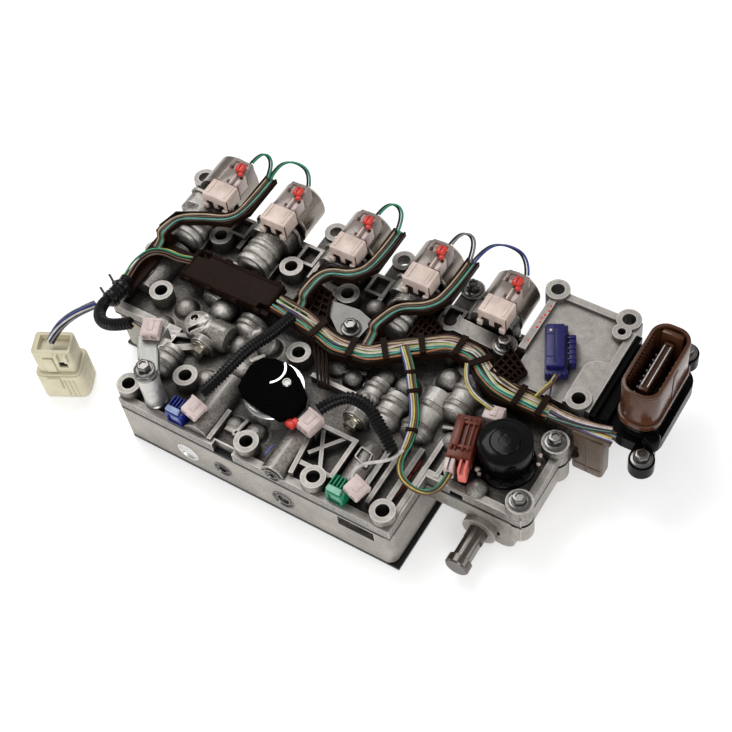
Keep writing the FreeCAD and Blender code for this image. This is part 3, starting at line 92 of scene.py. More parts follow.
class Paint:
    """A material on object coordinates, with short calls for the nodes that it needs."""

    def __init__(self, name):
        self.material = bpy.data.materials.new(name)
        self.material.use_nodes = True
        self.nodes = self.material.node_tree.nodes
        self.links = self.material.node_tree.links
        self.shader = self.nodes["Principled BSDF"]
        self.coords = self.nodes.new("ShaderNodeTexCoord").outputs["Object"]

    def link(self, source, target):
        self.links.new(source, target)

    def fill(self, socket, entry):
        """Sets an input to a number or a colour, or links another node's output to it."""
        if isinstance(entry, (int, float)):
            socket.default_value = entry
        elif isinstance(entry, tuple):
            socket.default_value = (*entry, 1.0)
        else:
            self.link(entry, socket)

    def set(self, **values):
        for name, amount in values.items():
            self.shader.inputs[name.replace("_", " ").title()].default_value = amount

    def stretched(self, scale):
        mapping = self.nodes.new("ShaderNodeMapping")
        mapping.inputs["Scale"].default_value = scale
        self.link(self.coords, mapping.inputs["Vector"])
        return mapping.outputs["Vector"]

    def noise(self, size, detail=4.0, rough=0.6, vector=None):
        """Noise whose features are about size millimetres across."""
        node = self.nodes.new("ShaderNodeTexNoise")
        node.inputs["Scale"].default_value = 1.0 / (size * MM)
        node.inputs["Detail"].default_value = detail
        node.inputs["Roughness"].default_value = rough
        self.link(vector or self.coords, node.inputs["Vector"])
        return node.outputs["Fac"]

    def ramp(self, source, stops):
        node = self.nodes.new("ShaderNodeValToRGB")
        for element, (place, colour) in zip(node.color_ramp.elements, stops):
            element.position = place
            element.color = (*colour, 1.0)
        self.link(source, node.inputs["Fac"])
        return node.outputs["Color"]

    def spread(self, source, low, high):
        """The middle of a noise's range, spread from low to high."""
        node = self.nodes.new("ShaderNodeMapRange")
        for name, amount in (("From Min", 0.3), ("From Max", 0.7), ("To Min", low), ("To Max", high)):
            node.inputs[name].default_value = amount
        self.link(source, node.inputs["Value"])
        return node.outputs["Result"]

    def mix(self, factor, first, second, blend="MIX"):
        node = self.nodes.new("ShaderNodeMix")
        node.data_type = "RGBA"
        node.blend_type = blend
        for socket, entry in ((0, factor), (6, first), (7, second)):
            self.fill(node.inputs[socket], entry)
        return node.outputs[2]

    def math(self, kind, first, second):
        node = self.nodes.new("ShaderNodeMath")
        node.operation = kind
        for socket, entry in enumerate((first, second)):
            self.fill(node.inputs[socket], entry)
        return node.outputs[0]

    def bump(self, height, distance, strength):
        node = self.nodes.new("ShaderNodeBump")
        node.inputs["Distance"].default_value = distance * MM
        node.inputs["Strength"].default_value = strength
        self.link(height, node.inputs["Height"])
        self.link(node.outputs["Normal"], self.shader.inputs["Normal"])

    def openness(self, reach, samples, inside=False):
        """1 in the open, lower in corners; inside gives 1 on wide faces, lower beside an outer edge."""
        node = self.nodes.new("ShaderNodeAmbientOcclusion")
        node.samples = samples
        node.inside = inside
        node.inputs["Distance"].default_value = reach * MM
        return node.outputs["AO"]

    def upright_part(self, source):
        node = self.nodes.new("ShaderNodeSeparateXYZ")
        self.link(source, node.inputs[0])
        return node.outputs["Z"]

    def facing_up(self):
        return self.upright_part(self.nodes.new("ShaderNodeNewGeometry").outputs["True Normal"])

    def height(self):
        return self.upright_part(self.coords)

    def shaded(self, base, reach, low, dark, high):
        """A colour with painted shade in corners within reach."""
        tone = self.ramp(self.openness(reach, 6), [(low, grey(dark)), (high, OPEN)])
        return self.mix(1.0, base, tone, "MULTIPLY")

    def surface(self, base, source, low, high):
        """Gives the shader its colour, and a roughness from low to high that follows a noise."""
        self.link(base, self.shader.inputs["Base Color"])
        self.link(self.spread(source, low, high), self.shader.inputs["Roughness"])


SEAM_LOW = 35.2
SEAM_HIGH = 38.1
FOOT_LEVEL = 3.4
RIM_LEVEL = 45.6
WAVE = 5.0
DULL_CUT = (0.34, 0.317, 0.292)
BRIGHT_CUT = (0.48, 0.45, 0.417)
# Colour of outer edges: partly wear, partly a painted highlight.
EDGE_WEAR_AND_HIGHLIGHT = (0.6, 0.57, 0.53)
# Colour of the floor below the rim: painted shade and oil.
FLOOR_SHADE_AND_OIL = (0.02, 0.018, 0.016)
JOINT_DARK = (0.012, 0.011, 0.01)


def casting(name, colour, dark=0.16, rough=0.4, grain=1.5, shade_and_oil_share=0.0, speckle=0.8):
    """Die-cast aluminium: grain, waves, stains, painted shade in corners, edges paled by wear and a painted
    highlight, machined level faces, a floor below the rim darkened by painted shade and oil, and dark joints
    under and between the two castings."""
    paint = Paint(name)
    stain = paint.noise(19.0, 5.0)
    fine = paint.noise(grain, 7.0, 0.75)
    base = paint.ramp(stain, [(0.32, scaled(colour, 0.66)), (0.66, colour)])
    base = paint.mix(speckle, base, paint.ramp(fine, [(0.4, grey(0.42)), (0.58, OPEN)]), "MULTIPLY")
    level = paint.math("GREATER_THAN", paint.facing_up(), 0.995)
    high = paint.math("GREATER_THAN", paint.height(), RIM_LEVEL * MM)
    machined = paint.math("MULTIPLY", level, high)
    base = paint.mix(machined, base, paint.ramp(paint.noise(5.0, 4.0), [(0.3, DULL_CUT), (0.7, BRIGHT_CUT)]))
    # Paler outer edges: partly wear, partly a painted highlight.
    wear_and_highlight = paint.ramp(paint.openness(1.1, 4, True), [(0.55, OPEN), (0.9, grey(0.0))])
    base = paint.mix(wear_and_highlight, base, EDGE_WEAR_AND_HIGHLIGHT)
    # Upward faces below the rim darken by the share given: painted shade and oil.
    below = paint.math("LESS_THAN", paint.height(), RIM_LEVEL * MM)
    upward = paint.math("GREATER_THAN", paint.facing_up(), 0.3)
    shade_and_oil_mask = paint.math("MULTIPLY", paint.math("MULTIPLY", below, upward), shade_and_oil_share)
    base = paint.mix(shade_and_oil_mask, base, FLOOR_SHADE_AND_OIL)
    over = paint.math("GREATER_THAN", paint.height(), SEAM_LOW * MM)
    under = paint.math("LESS_THAN", paint.height(), SEAM_HIGH * MM)
    foot = paint.math("LESS_THAN", paint.height(), FOOT_LEVEL * MM)
    joint = paint.math("MAXIMUM", paint.math("MULTIPLY", over, under), foot)
    # Dark joints, then painted shade in corners within 18 mm.
    base = paint.shaded(paint.mix(joint, base, JOINT_DARK), 18.0, 0.15, dark, 0.82)
    paint.surface(base, stain, rough - 0.08, rough + 0.14)
    paint.set(metallic=0.85)
    depth = paint.math("SUBTRACT", WAVE, paint.math("MULTIPLY", machined, WAVE))
    waves = paint.math("MULTIPLY", paint.noise(13.0, 2.0), depth)
    paint.bump(paint.math("ADD", fine, waves), 0.5, 0.85)
    return paint.material


def metal(name, colour, rough, dark, grain=OPEN):
    """Turned, drawn or plated metal with fine marks along one way, and painted shade in corners."""
    paint = Paint(name)
    marks = paint.noise(0.8, 5.0, 0.6, paint.stretched(grain))
    base = paint.ramp(paint.noise(9.0, 4.0), [(0.3, scaled(colour, 0.8)), (0.68, colour)])
    base = paint.mix(0.6, base, paint.ramp(marks, [(0.3, grey(0.8)), (0.7, OPEN)]), "MULTIPLY")
    # Painted shade darkens the colour in corners within 9 mm.
    paint.surface(paint.shaded(base, 9.0, 0.1, dark, 0.75), marks, rough - 0.07, rough + 0.1)
    paint.set(metallic=0.95)
    paint.bump(marks, 0.05, 0.5)
    return paint.material


def plastic(name, colour, rough, tone=0.8, clear=0.0, shine=0.35):
    """Moulded plastic with a faint cloudiness, fine surface and painted shade in corners."""
    paint = Paint(name)
    fine = paint.noise(1.4, 4.0, 0.6)
    base = paint.ramp(paint.noise(11.0, 4.0), [(0.3, scaled(colour, tone)), (0.7, colour)])
    # Painted shade darkens the colour in corners within 3 mm.
    paint.surface(paint.shaded(base, 3.0, 0.1, 0.45, 0.8), fine, rough - 0.08, rough + 0.1)
    paint.shader.inputs["Specular IOR Level"].default_value = shine
    if clear:
        paint.shader.inputs["Transmission Weight"].default_value = clear
        paint.shader.inputs["IOR"].default_value = 1.45
    paint.bump(fine, 0.06, 0.4)
    return paint.material


def insulation(name, colour):
    """Thin wire insulation: glossy, slightly dirty."""
    paint = Paint(name)
    dirt = paint.noise(5.0, 4.0)
    paint.surface(paint.ramp(dirt, [(0.28, scaled(colour, 0.6)), (0.6, colour)]), dirt, 0.28, 0.45)
    paint.bump(paint.noise(0.6, 2.0), 0.03, 0.4)
    return paint.material


# The upper body's floor below the rim gets painted shade and oil.
ALUMINIUM = casting("cast_aluminium", (0.43, 0.4, 0.365), shade_and_oil_share=0.45)
ALUMINIUM_LOWER = casting("cast_aluminium_wall", (0.52, 0.485, 0.44), 0.5, 0.46, 1.2, speckle=0.4)
NOSE_METAL = casting("cast_nose", (0.4, 0.372, 0.34), 0.2, 0.32, 1.0)
UNIT_METAL = casting("cast_unit", (0.42, 0.4, 0.378), 0.4, 0.42, 1.0)
SLEEVE_METAL = casting("cast_sleeve", (0.82, 0.8, 0.76), 0.6, 0.42, 1.0, speckle=0.3)
CAN_METAL = metal("drawn_can", (0.32, 0.278, 0.24), 0.24, 0.3, (1.0, 0.08, 1.0))
BRIGHT_METAL = metal("bright_plug", (0.86, 0.86, 0.85), 0.3, 0.8)
GROUND_STEEL = metal("ground_steel", (0.36, 0.34, 0.32), 0.26, 0.4, (1.0, 8.0, 1.0))
VALVE_STEEL = metal("valve_steel", (0.15, 0.137, 0.124), 0.24, 0.6, (1.0, 0.06, 1.0))
BOLT_DARK = metal("bolt_dark", (0.22, 0.21, 0.2), 0.24, 0.25)
BOLT_ZINC = metal("bolt_zinc", (0.55, 0.51, 0.42), 0.28, 0.4)
PLATE_GREY = metal("plated_sheet", (0.2, 0.192, 0.178), 0.42, 0.35)
PLATE_PALE = metal("pale_sheet", (0.34, 0.35, 0.325), 0.45, 0.45)
GASKET = plastic("gasket_sheet", (0.02, 0.02, 0.021), 0.4, shine=0.2)
WHITE = plastic("connector_white", (0.8, 0.64, 0.56), 0.3, 0.7)
WHITE_CLEAR = plastic("connector_clear", (0.5, 0.4, 0.36), 0.2, 0.6, 0.35, shine=0.6)
COVER_BLACK = plastic("cover_black", (0.003, 0.003, 0.003), 0.5, 0.7, shine=0.0)
PINK_WHITE = plastic("connector_pink", (0.74, 0.6, 0.57), 0.28, 0.72)
# Painted shade inside the connectors' mouths.
MOUTH_SHADE = plastic("mouth_shade", (0.1, 0.045, 0.034), 0.4)
RED = plastic("lock_red", (0.72, 0.05, 0.035), 0.3)
SALMON = plastic("tab_salmon", (0.84, 0.2, 0.16), 0.3)
SEAL_RED = plastic("mark_red", (0.3, 0.03, 0.02), 0.45)
SEAL_BROWN = plastic("seal_brown", (0.09, 0.02, 0.01), 0.35)
FRAME_BROWN = plastic("frame_brown", (0.018, 0.0085, 0.0055), 0.34, 0.6, shine=0.035)
BLACK = plastic("black_plastic", (0.004, 0.004, 0.0045), 0.22, 0.7, shine=0.06)
CAP_BLACK = plastic("cap_black", (0.004, 0.004, 0.0045), 0.12, 0.7, shine=0.14)
TUBE_BLACK = plastic("tube_black", (0.006, 0.006, 0.0065), 0.24, 0.7, shine=0.25)
BLUE = plastic("switch_blue", (0.015, 0.025, 0.25), 0.3)
UNIT_BLUE = plastic("unit_blue", (0.012, 0.01, 0.115), 0.34)
PALE_BLUE = plastic("face_pale_blue", (0.32, 0.42, 0.66), 0.3)
GREEN = plastic("switch_green", (0.012, 0.25, 0.12), 0.28)
PALE_GREEN = plastic("face_pale_green", (0.25, 0.55, 0.42), 0.3)
BRICK = plastic("range_brick", (0.15, 0.028, 0.012), 0.33)
CASE_BROWN = plastic("case_brown", (0.1, 0.038, 0.018), 0.2, 0.55)
TAN = plastic("elbow_tan", (0.115, 0.075, 0.048), 0.34, 0.65)
CREAM = plastic("plug_cream", (0.72, 0.66, 0.47), 0.35, 0.85)
RUBBER = plastic("seal_rubber", (0.008, 0.008, 0.008), 0.3, 0.7, shine=0.2)

WIRE_COLOURS = {
    "green": (0.015, 0.26, 0.13), "teal": (0.12, 0.36, 0.3), "white": (0.66, 0.63, 0.6),
    "yellow": (0.62, 0.5, 0.09), "lemon": (0.5, 0.52, 0.14), "brown": (0.09, 0.04, 0.02),
    "orange": (0.4, 0.15, 0.05), "pink": (0.5, 0.3, 0.26), "violet": (0.15, 0.12, 0.3),
    "blue": (0.035, 0.055, 0.25), "grey": (0.22, 0.22, 0.22), "black": (0.01, 0.01, 0.011),
    "cream": (0.5, 0.38, 0.24), "red": (0.3, 0.04, 0.025),
}
WIRE = {name: insulation("wire_" + name, colour) for name, colour in WIRE_COLOURS.items()}

NODE_FINISH = {
    "bottom_plate": GASKET, "lower_body": ALUMINIUM_LOWER, "separator_plate": GASKET, "upper_body": ALUMINIUM,
    "bore_plug_left": BRIGHT_METAL, "bore_plug_middle": BOLT_DARK, "bore_plug_right": BOLT_DARK,
    "deck_bore_plug": BOLT_DARK, "manual_valve": VALVE_STEEL, "solenoid_noses": NOSE_METAL,
    "hold_down_plate": PLATE_GREY, "control_unit": UNIT_METAL, "unit_connector": UNIT_BLUE,
    "unit_bracket": BLACK, "case_flange": BLACK, "case_connector": CASE_BROWN, "case_seals": RUBBER,
    "harness_frame": FRAME_BROWN, "duct_cover": FRAME_BROWN, "wire_clips": FRAME_BROWN,
    "blue_switch": BLUE, "green_switch": GREEN, "switch_connectors": PINK_WHITE, "round_cover": BLACK,
    "cover_connector": PINK_WHITE, "small_solenoid": CAN_METAL, "flange_bolts": BOLT_DARK,
    "side_bolts": BOLT_ZINC, "sensor_sleeve": SLEEVE_METAL, "sensor_bracket": PLATE_PALE,
    "bracket_connector": PINK_WHITE, "cap_sensor": BLACK, "cap_connector": PINK_WHITE,
    "range_connector": BRICK, "range_plug": SALMON, "wire_elbow": TAN, "pigtail_plug": CREAM,
    "solenoid_connectors": WHITE, "lock_clips": RED, "conduits": TUBE_BLACK,
    "main_bundle": WIRE["brown"], "branch_wires": WIRE["black"], "pigtail_cord": WIRE["black"],
}
for side in ("left", "middle", "right"):
    NODE_FINISH["spool_" + side] = GROUND_STEEL
    NODE_FINISH["spring_" + side] = GROUND_STEEL
for number in range(1, 6):
    NODE_FINISH["solenoid_can_%d" % number] = CAN_METAL


def painted(piece, material):
    piece.data.materials.clear()
    piece.data.materials.append(material)
    return piece


for name, material in NODE_FINISH.items():
    painted(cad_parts[name], material)


# Modelling
def fresh(name):
    """The primitive that was just added, under its name."""
    piece = bpy.context.object
    piece.name = name
    piece.data.name = name
    return piece


def alone(piece):
    bpy.ops.object.select_all(action="DESELECT")
    piece.select_set(True)
    bpy.context.view_layer.objects.active = piece
    return piece


def settle(piece):
    """Puts the place, turn and size of a piece into its mesh."""
    alone(piece)
    bpy.ops.object.transform_apply(location=True, rotation=True, scale=True)
    return piece


def moved(piece, place):
    piece.data.transform(Matrix.Translation(spot(*place)))
    return piece


def smooth(piece, angle=35.0):
    alone(piece)
    bpy.ops.object.shade_smooth_by_angle(angle=math.radians(angle))
    return piece


def soften(piece, width, segments=2, limit=40.0):
    """Rounds the edges of a piece that are sharper than a limit."""
    edge = piece.modifiers.new("edge", "BEVEL")
    edge.width = width * MM
    edge.segments = segments
    edge.angle_limit = math.radians(limit)
    alone(piece)
    bpy.ops.object.modifier_apply(modifier=edge.name)
    return piece


def block(name, middle, size, turn=0.0, bevel=0.4, segments=2):
    """A rounded block on its middle, turned about the upright axis."""
    bpy.ops.mesh.primitive_cube_add(size=1.0, location=spot(*middle), rotation=(0.0, 0.0, math.radians(turn)))
    piece = fresh(name)
    piece.scale = spot(*size)
    settle(piece)
    return soften(piece, bevel, segments) if bevel else piece


def blocks(name, entries, material):
    """Painted blocks from (middle, size, bevel)."""
    return [painted(block(name, middle, size, bevel=bevel), material) for middle, size, bevel in entries]


def rod(name, low, radius, length, along, sides, bevel=0.0):
    """A round bar from its low end, along y or z."""
    turn, way = {"z": (0.0, Vector((0, 0, 1))), "y": (-math.pi / 2, Vector((0, 1, 0)))}[along]
    bpy.ops.mesh.primitive_cone_add(
        vertices=sides, radius1=radius * MM, radius2=radius * MM, depth=length * MM,
        location=spot(*low) + way * length * MM / 2, rotation=(turn, 0.0, 0.0))
    piece = settle(fresh(name))
    return soften(piece, bevel) if bevel else piece


def joined(name, items):
    """One piece from several, with their materials kept."""
    bpy.ops.object.select_all(action="DESELECT")
    for item in items:
        item.select_set(True)
    bpy.context.view_layer.objects.active = items[0]
    if len(items) > 1:
        bpy.ops.object.join()
    return fresh(name)


def finish(piece, material, replaced=()):
    """Gives a piece its material and lets it ride on the body."""
    if material is not None:
        painted(piece, material)
    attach(piece, BODY)
    if replaced:
        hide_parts(*replaced)
    return piece


def twin(piece, name, shift):
    """A copy with its own mesh, moved in millimetres."""
    return moved(placed(name, piece.data.copy()), shift)


def turned_mesh(piece, degrees, middle, axis="Z"):
    """Turns the mesh of a piece about an axis through a point."""
    place = spot(*middle)
    turn = Matrix.Rotation(math.radians(degrees), 4, axis)
    piece.data.transform(Matrix.Translation(place) @ turn @ Matrix.Translation(-place))
    return piece


def choose(piece, kind, chosen):
    """Opens a piece for editing with the chosen faces or edges selected."""
    alone(piece)
    bpy.ops.object.mode_set(mode="EDIT")
    bpy.ops.mesh.select_mode(type=kind)
    bpy.ops.mesh.select_all(action="DESELECT")
    bpy.ops.object.mode_set(mode="OBJECT")
    for part in {"FACE": piece.data.polygons, "EDGE": piece.data.edges}[kind]:
        part.select = chosen(part)
    bpy.ops.object.mode_set(mode="EDIT")


def faces_up(face):
    return face.normal.z > 0.99


def sunk(piece, chosen, border, depth):
    """Insets the chosen faces and pushes them in."""
    choose(piece, "FACE", chosen)
    bpy.ops.mesh.inset(thickness=border * MM, depth=0.0)
    bpy.ops.mesh.inset(thickness=0.0001 * MM, depth=-depth * MM)
    bpy.ops.object.mode_set(mode="OBJECT")
    return piece


def coloured(piece, material, chosen):
    """Gives the chosen faces of a piece a material of their own."""
    piece.data.materials.append(material)
    place = len(piece.data.materials) - 1
    for face in piece.data.polygons:
        if chosen(face):
            face.material_index = place
    return piece


def carved(piece, tools):
    """Cuts the tools out of a piece and takes them away."""
    for tool in tools:
        cut = piece.modifiers.new("cut", "BOOLEAN")
        cut.operation = "DIFFERENCE"
        cut.solver = "EXACT"
        cut.object = tool
        alone(piece)
        bpy.ops.object.modifier_apply(modifier=cut.name)
        bpy.data.objects.remove(tool)
    return piece


def add_spline(curve, points, index=0):
    """Adds a smooth line whose control points are the points given, in millimetres."""
    spline = curve.splines.new("NURBS")
    spline.points.add(len(points) - 1)
    for control, (x, y, z) in zip(spline.points, points):
        control.co = (x * MM, y * MM, z * MM, 1.0)
    spline.order_u = 3
    spline.use_endpoint_u = True
    spline.material_index = index


def wires(name, routes, radius, replaced=()):
    """Round wires, one smooth line each: routes are (points, colour)."""
    curve = bpy.data.curves.new(name, "CURVE")
    curve.dimensions = "3D"
    curve.bevel_depth = radius * MM
    curve.bevel_resolution = 2
    curve.resolution_u = 6
    curve.use_fill_caps = True
    colours = sorted({colour for points, colour in routes})
    for colour in colours:
        curve.materials.append(WIRE[colour])
    for points, colour in routes:
        add_spline(curve, points, colours.index(colour))
    alone(placed(name, curve))
    bpy.ops.object.convert(target="MESH")
    return finish(fresh(name), None, replaced)


def line_points(points):
    """Points read from the smooth line, in metres."""
    curve = bpy.data.curves.new("line", "CURVE")
    curve.dimensions = "3D"
    curve.resolution_u = 40
    add_spline(curve, points)
    holder = placed("line", curve)
    mesh = bpy.data.meshes.new_from_object(holder)
    read = [vertex.co.copy() for vertex in mesh.vertices]
    bpy.data.objects.remove(holder)
    bpy.data.meshes.remove(mesh)
    return read


def even(points, pitch):
    """The line again, with points one pitch apart."""
    result = [points[0].copy()]
    left = pitch
    for start, end in zip(points, points[1:]):
        length = (end - start).length
        done = 0.0
        while length - done >= left:
            done += left
            result.append(start.lerp(end, done / length))
            left = pitch
        left -= length - done
    return result


def frames_along(points):
    """Two cross directions at each point of a line, which never flip."""
    frames = []
    side = Vector((0.0, 0.0, 1.0))
    for n in range(len(points)):
        ahead = (points[min(n + 1, len(points) - 1)] - points[max(n - 1, 0)]).normalized()
        side = side - ahead * side.dot(ahead)
        if side.length < 1e-4:
            side = ahead.orthogonal()
        side.normalize()
        frames.append((side.copy(), ahead.cross(side)))
    return frames


def skin(name, points, radii, sides):
    """A closed round tube along points in metres, with a radius in millimetres for each."""
    corners = []
    turns = [math.tau * k / sides for k in range(sides)]
    for point, (across, over), radius in zip(points, frames_along(points), radii):
        corners += [point + (across * math.cos(turn) + over * math.sin(turn)) * radius * MM for turn in turns]
    faces = []
    for n in range(len(points) - 1):
        for k in range(sides):
            k_next = (k + 1) % sides
            faces.append((n * sides + k, n * sides + k_next, (n + 1) * sides + k_next, (n + 1) * sides + k))
    faces.append(tuple(range(sides))[::-1])
    faces.append(tuple((len(points) - 1) * sides + k for k in range(sides)))
    mesh = bpy.data.meshes.new(name)
    mesh.from_pydata(corners, [], faces)
    mesh.update()
    return placed(name, mesh)


def lathe(name, profile, place, along, steps):
    """A turned piece from its profile of (radius, height), with its foot at a place."""
    mesh = bpy.data.meshes.new(name)
    mesh.from_pydata([(radius * MM, 0.0, height * MM) for radius, height in profile],
                     [(n, n + 1) for n in range(len(profile) - 1)], [])
    piece = placed(name, mesh)
    alone(piece)
    bpy.ops.object.mode_set(mode="EDIT")
    bpy.ops.mesh.select_all(action="SELECT")
    bpy.ops.mesh.spin(steps=steps, angle=math.tau, center=(0.0, 0.0, 0.0), axis=(0.0, 0.0, 1.0))
    bpy.ops.mesh.select_all(action="SELECT")
    bpy.ops.mesh.remove_doubles(threshold=0.01 * MM)
    bpy.ops.mesh.normals_make_consistent(inside=False)
    bpy.ops.object.mode_set(mode="OBJECT")
    turn = {"z": (0.0, "X"), "y": (-90.0, "X"), "x": (90.0, "Y")}[along]
    turned_mesh(piece, turn[0], (0, 0, 0), turn[1])
    return smooth(moved(piece, place), 32.0)


def plate(name, outline, low, high, bevel):
    """A flat piece from its outline in plan, with rounded edges."""
    curve = bpy.data.curves.new(name, "CURVE")
    curve.dimensions = "2D"
    curve.fill_mode = "BOTH"
    curve.extrude = ((high - low) / 2 - bevel) * MM
    curve.bevel_depth = bevel * MM
    curve.bevel_resolution = 1
    curve.offset = -bevel * MM
    spline = curve.splines.new("POLY")
    spline.points.add(len(outline) - 1)
    for control, (x, y) in zip(spline.points, outline):
        control.co = (x * MM, y * MM, 0.0, 1.0)
    spline.use_cyclic_u = True
    piece = placed(name, curve)
    piece.location = (0.0, 0.0, (low + high) / 2 * MM)
    alone(piece)
    bpy.ops.object.convert(target="MESH")
    return settle(fresh(name))


def pillar(name, middle, size, corner, bevel, steps=5):
    """A block whose upright edges are rounded to a corner radius."""
    piece = block(name, (0, 0, 0), size, bevel=0)

    def upright(edge):
        one, other = (piece.data.vertices[n].co for n in edge.vertices)
        return abs(one.z - other.z) > 1e-6

    choose(piece, "EDGE", upright)
    bpy.ops.mesh.bevel(offset=corner * MM, segments=steps, affect="EDGES")
    bpy.ops.object.mode_set(mode="OBJECT")
    if bevel:
        soften(piece, bevel)
    return smooth(moved(piece, middle))


def wall(name, start, end, thick, low, high, bevel=0.25):
    """A low block between two points in plan."""
    turn = math.degrees(math.atan2(end[1] - start[1], end[0] - start[0]))
    middle = ((start[0] + end[0]) / 2, (start[1] + end[1]) / 2, (low + high) / 2)
    return block(name, middle, (math.dist(start, end), thick, high - low), turn, bevel)


# Cream plug of the pigtail
PLUG = (-216.0, -45.0)
PLUG_TURN = 26.0
WINDOW = (6.0, 34.0)
WINDOW_REACH = 2.9


def cream_plug():
    x, y = PLUG
    head = carved(pillar("head", (x, y, 35), (27, 18, 24), 3, bevel=0.9),
                  [block("room", (x + 1, y, 46), (21, 12, 8), bevel=0.5),
                   block("window", (x + WINDOW[0], y - 9.2, WINDOW[1]), (6, 3, 6), bevel=0.3)])
    parts = [pillar("skirt", (x, y, 12), (33, 25, 24), 6, bevel=0.9), head,
             pillar("collar", (x, y, 24.2), (31, 23, 2.4), 5, bevel=0.8),
             block("latch", (x - 3, y - 12.6, 17), (9, 2.0, 13), bevel=0.8),
             block("latch", (x - 3, y - 9.4, 34), (7, 1.6, 15), bevel=0.6)]
    parts += [block("prong", (x + shift, y - 9.8, 42.5), (2.6, 3.2, 8.4), bevel=0.7) for shift in (3.6, 10.0)]
    for n in range(3):
        parts.append(block("rib", (x + 9.5 - 3.0 * n, y - 12.4, 11), (1.2, 1.4, 18), bevel=0.4))
        parts.append(block("rib", (x + 16.3, y - 5 + 5 * n, 11), (1.2, 1.4, 18), bevel=0.4))

    def in_window(face):
        aside, ahead, over = face.center / MM - Vector((x + WINDOW[0], y, WINDOW[1]))
        return abs(aside) < WINDOW_REACH and abs(over) < WINDOW_REACH and -8.2 < ahead < -7.0

    # The inner face of the window is painted black: painted shade.
    piece = coloured(painted(joined("cream_plug", parts), CREAM), BLACK, in_window)
    return smooth(turned_mesh(piece, PLUG_TURN, (x, y, 0)))


plug = finish(cream_plug(), None, ["pigtail_plug"])

# Pigtail: a free bundle of thin wires from the conduit to the cream plug
CORD = [(-197.5, -14, 63), (-202, -22, 64), (-208, -32, 62), (-213.5, -40.5, 55.5), (-217, -45.5, 47)]
STRAND_R = 0.65
OUTER_REACH = 2.8
INNER_REACH = 1.5
STRANDS = [(0.0, 0.0, "black")]
STRANDS += [(INNER_REACH, angle, colour) for angle, colour in (
    (0.0, "violet"), (75.0, "white"), (150.0, "brown"), (220.0, "blue"), (290.0, "black"))]
STRANDS += [(OUTER_REACH, angle, colour) for angle, colour in (
    (20.0, "grey"), (65.0, "black"), (110.0, "violet"), (160.0, "cream"), (205.0, "black"), (250.0, "grey"),
    (300.0, "white"), (340.0, "blue"))]


def pigtail():
    route = even(line_points(CORD), 1.5 * MM)
    frames = frames_along(route)
    strands = []
    for n, (reach, angle, colour) in enumerate(STRANDS):
        track = []
        for k, (point, (across, over)) in enumerate(zip(route, frames)):
            share = k / (len(route) - 1)
            turn = math.radians(angle + 50.0 * share)
            loose = reach * (0.85 + 0.15 * math.sin(3.0 * share + n))
            track.append(point + (across * math.cos(turn) + over * math.sin(turn)) * loose * MM)
        strand = skin("strand", track, [STRAND_R] * len(track), 10)
        strands.append(smooth(painted(strand, WIRE[colour])))
    piece = finish(joined("pigtail_wires", strands), None, ["pigtail_cord"])


pigtail()

# Stage: a pale floor under soft studio light
FLOOR_WIDE = 6.0
FLOOR_LOW = -0.0002
GLOW = 0.42


def stage():
    bpy.ops.mesh.primitive_plane_add(size=FLOOR_WIDE, location=(0.0, 0.0, FLOOR_LOW))
    floor = fresh("floor")
    paint = Paint("floor_paint")
    tone = paint.ramp(paint.noise(600.0, 2.0), [(0.3, grey(0.86)), (0.7, grey(0.9))])
    paint.link(tone, paint.shader.inputs["Base Color"])
    paint.set(roughness=0.9, emission_color=(1.0, 1.0, 1.0, 1.0), emission_strength=GLOW)
    painted(floor, paint.material)
    world = bpy.data.worlds.new("studio")
    world.use_nodes = True
    world.node_tree.nodes["Background"].inputs["Color"].default_value = (1.0, 1.0, 1.0, 1.0)
    world.node_tree.nodes["Background"].inputs["Strength"].default_value = GLOW
    bpy.context.scene.world = world


def lamp(name, place, aim, size, power):
    data = bpy.data.lights.new(name, "AREA")
    data.shape = "RECTANGLE"
    data.size = size[0]
    data.size_y = size[1]
    data.energy = power
    light = placed(name, data)
    light.location = place
    light.rotation_mode = "QUATERNION"
    light.rotation_quaternion = (Vector(aim) - Vector(place)).to_track_quat("-Z", "Y")


stage()
lamp("key", (-0.55, 0.35, 1.1), (0.0, 0.03, 0.03), (0.7, 0.7), 7.0)
lamp("front", (0.5, -1.1, 0.7), (0.0, 0.0, 0.03), (0.9, 0.5), 6.5)
lamp("right", (1.2, 0.4, 0.6), (0.0, 0.0, 0.03), (0.6, 0.6), 2.5)

# Corrugated conduits
CONDUITS = [
    [(-193.5, 14, 61), (-191, 2, 62), (-194, -12, 64), (-184, -26, 70), (-168, -30, 77), (-154, -24, 83)],
    [(-76, 37, 64), (-78, 20, 66), (-84, 2, 69), (-86, -14, 70), (-88, -28, 69), (-92, -40, 67)],
    [(-20, -16, 68), (-12, -4, 73), (4, 0, 73), (20, -9, 69), (33, -18, 64.5)],
]
CONDUIT_R = 4.1
CONDUIT_VALLEY = 3.3
CONDUIT_PITCH = 2.4


def conduit(points):
    """A corrugated tube: four rings of points for each ridge."""
    track = even(line_points(points), CONDUIT_PITCH / 4 * MM)
    radii = [(CONDUIT_R, CONDUIT_R, CONDUIT_VALLEY, CONDUIT_VALLEY)[n % 4] for n in range(len(track))]
    return smooth(skin("conduit", track, radii, 20), 50.0)


tubes = [conduit(points) for points in CONDUITS]
finish(joined("conduit_tubes", tubes), TUBE_BLACK, ["conduits"])

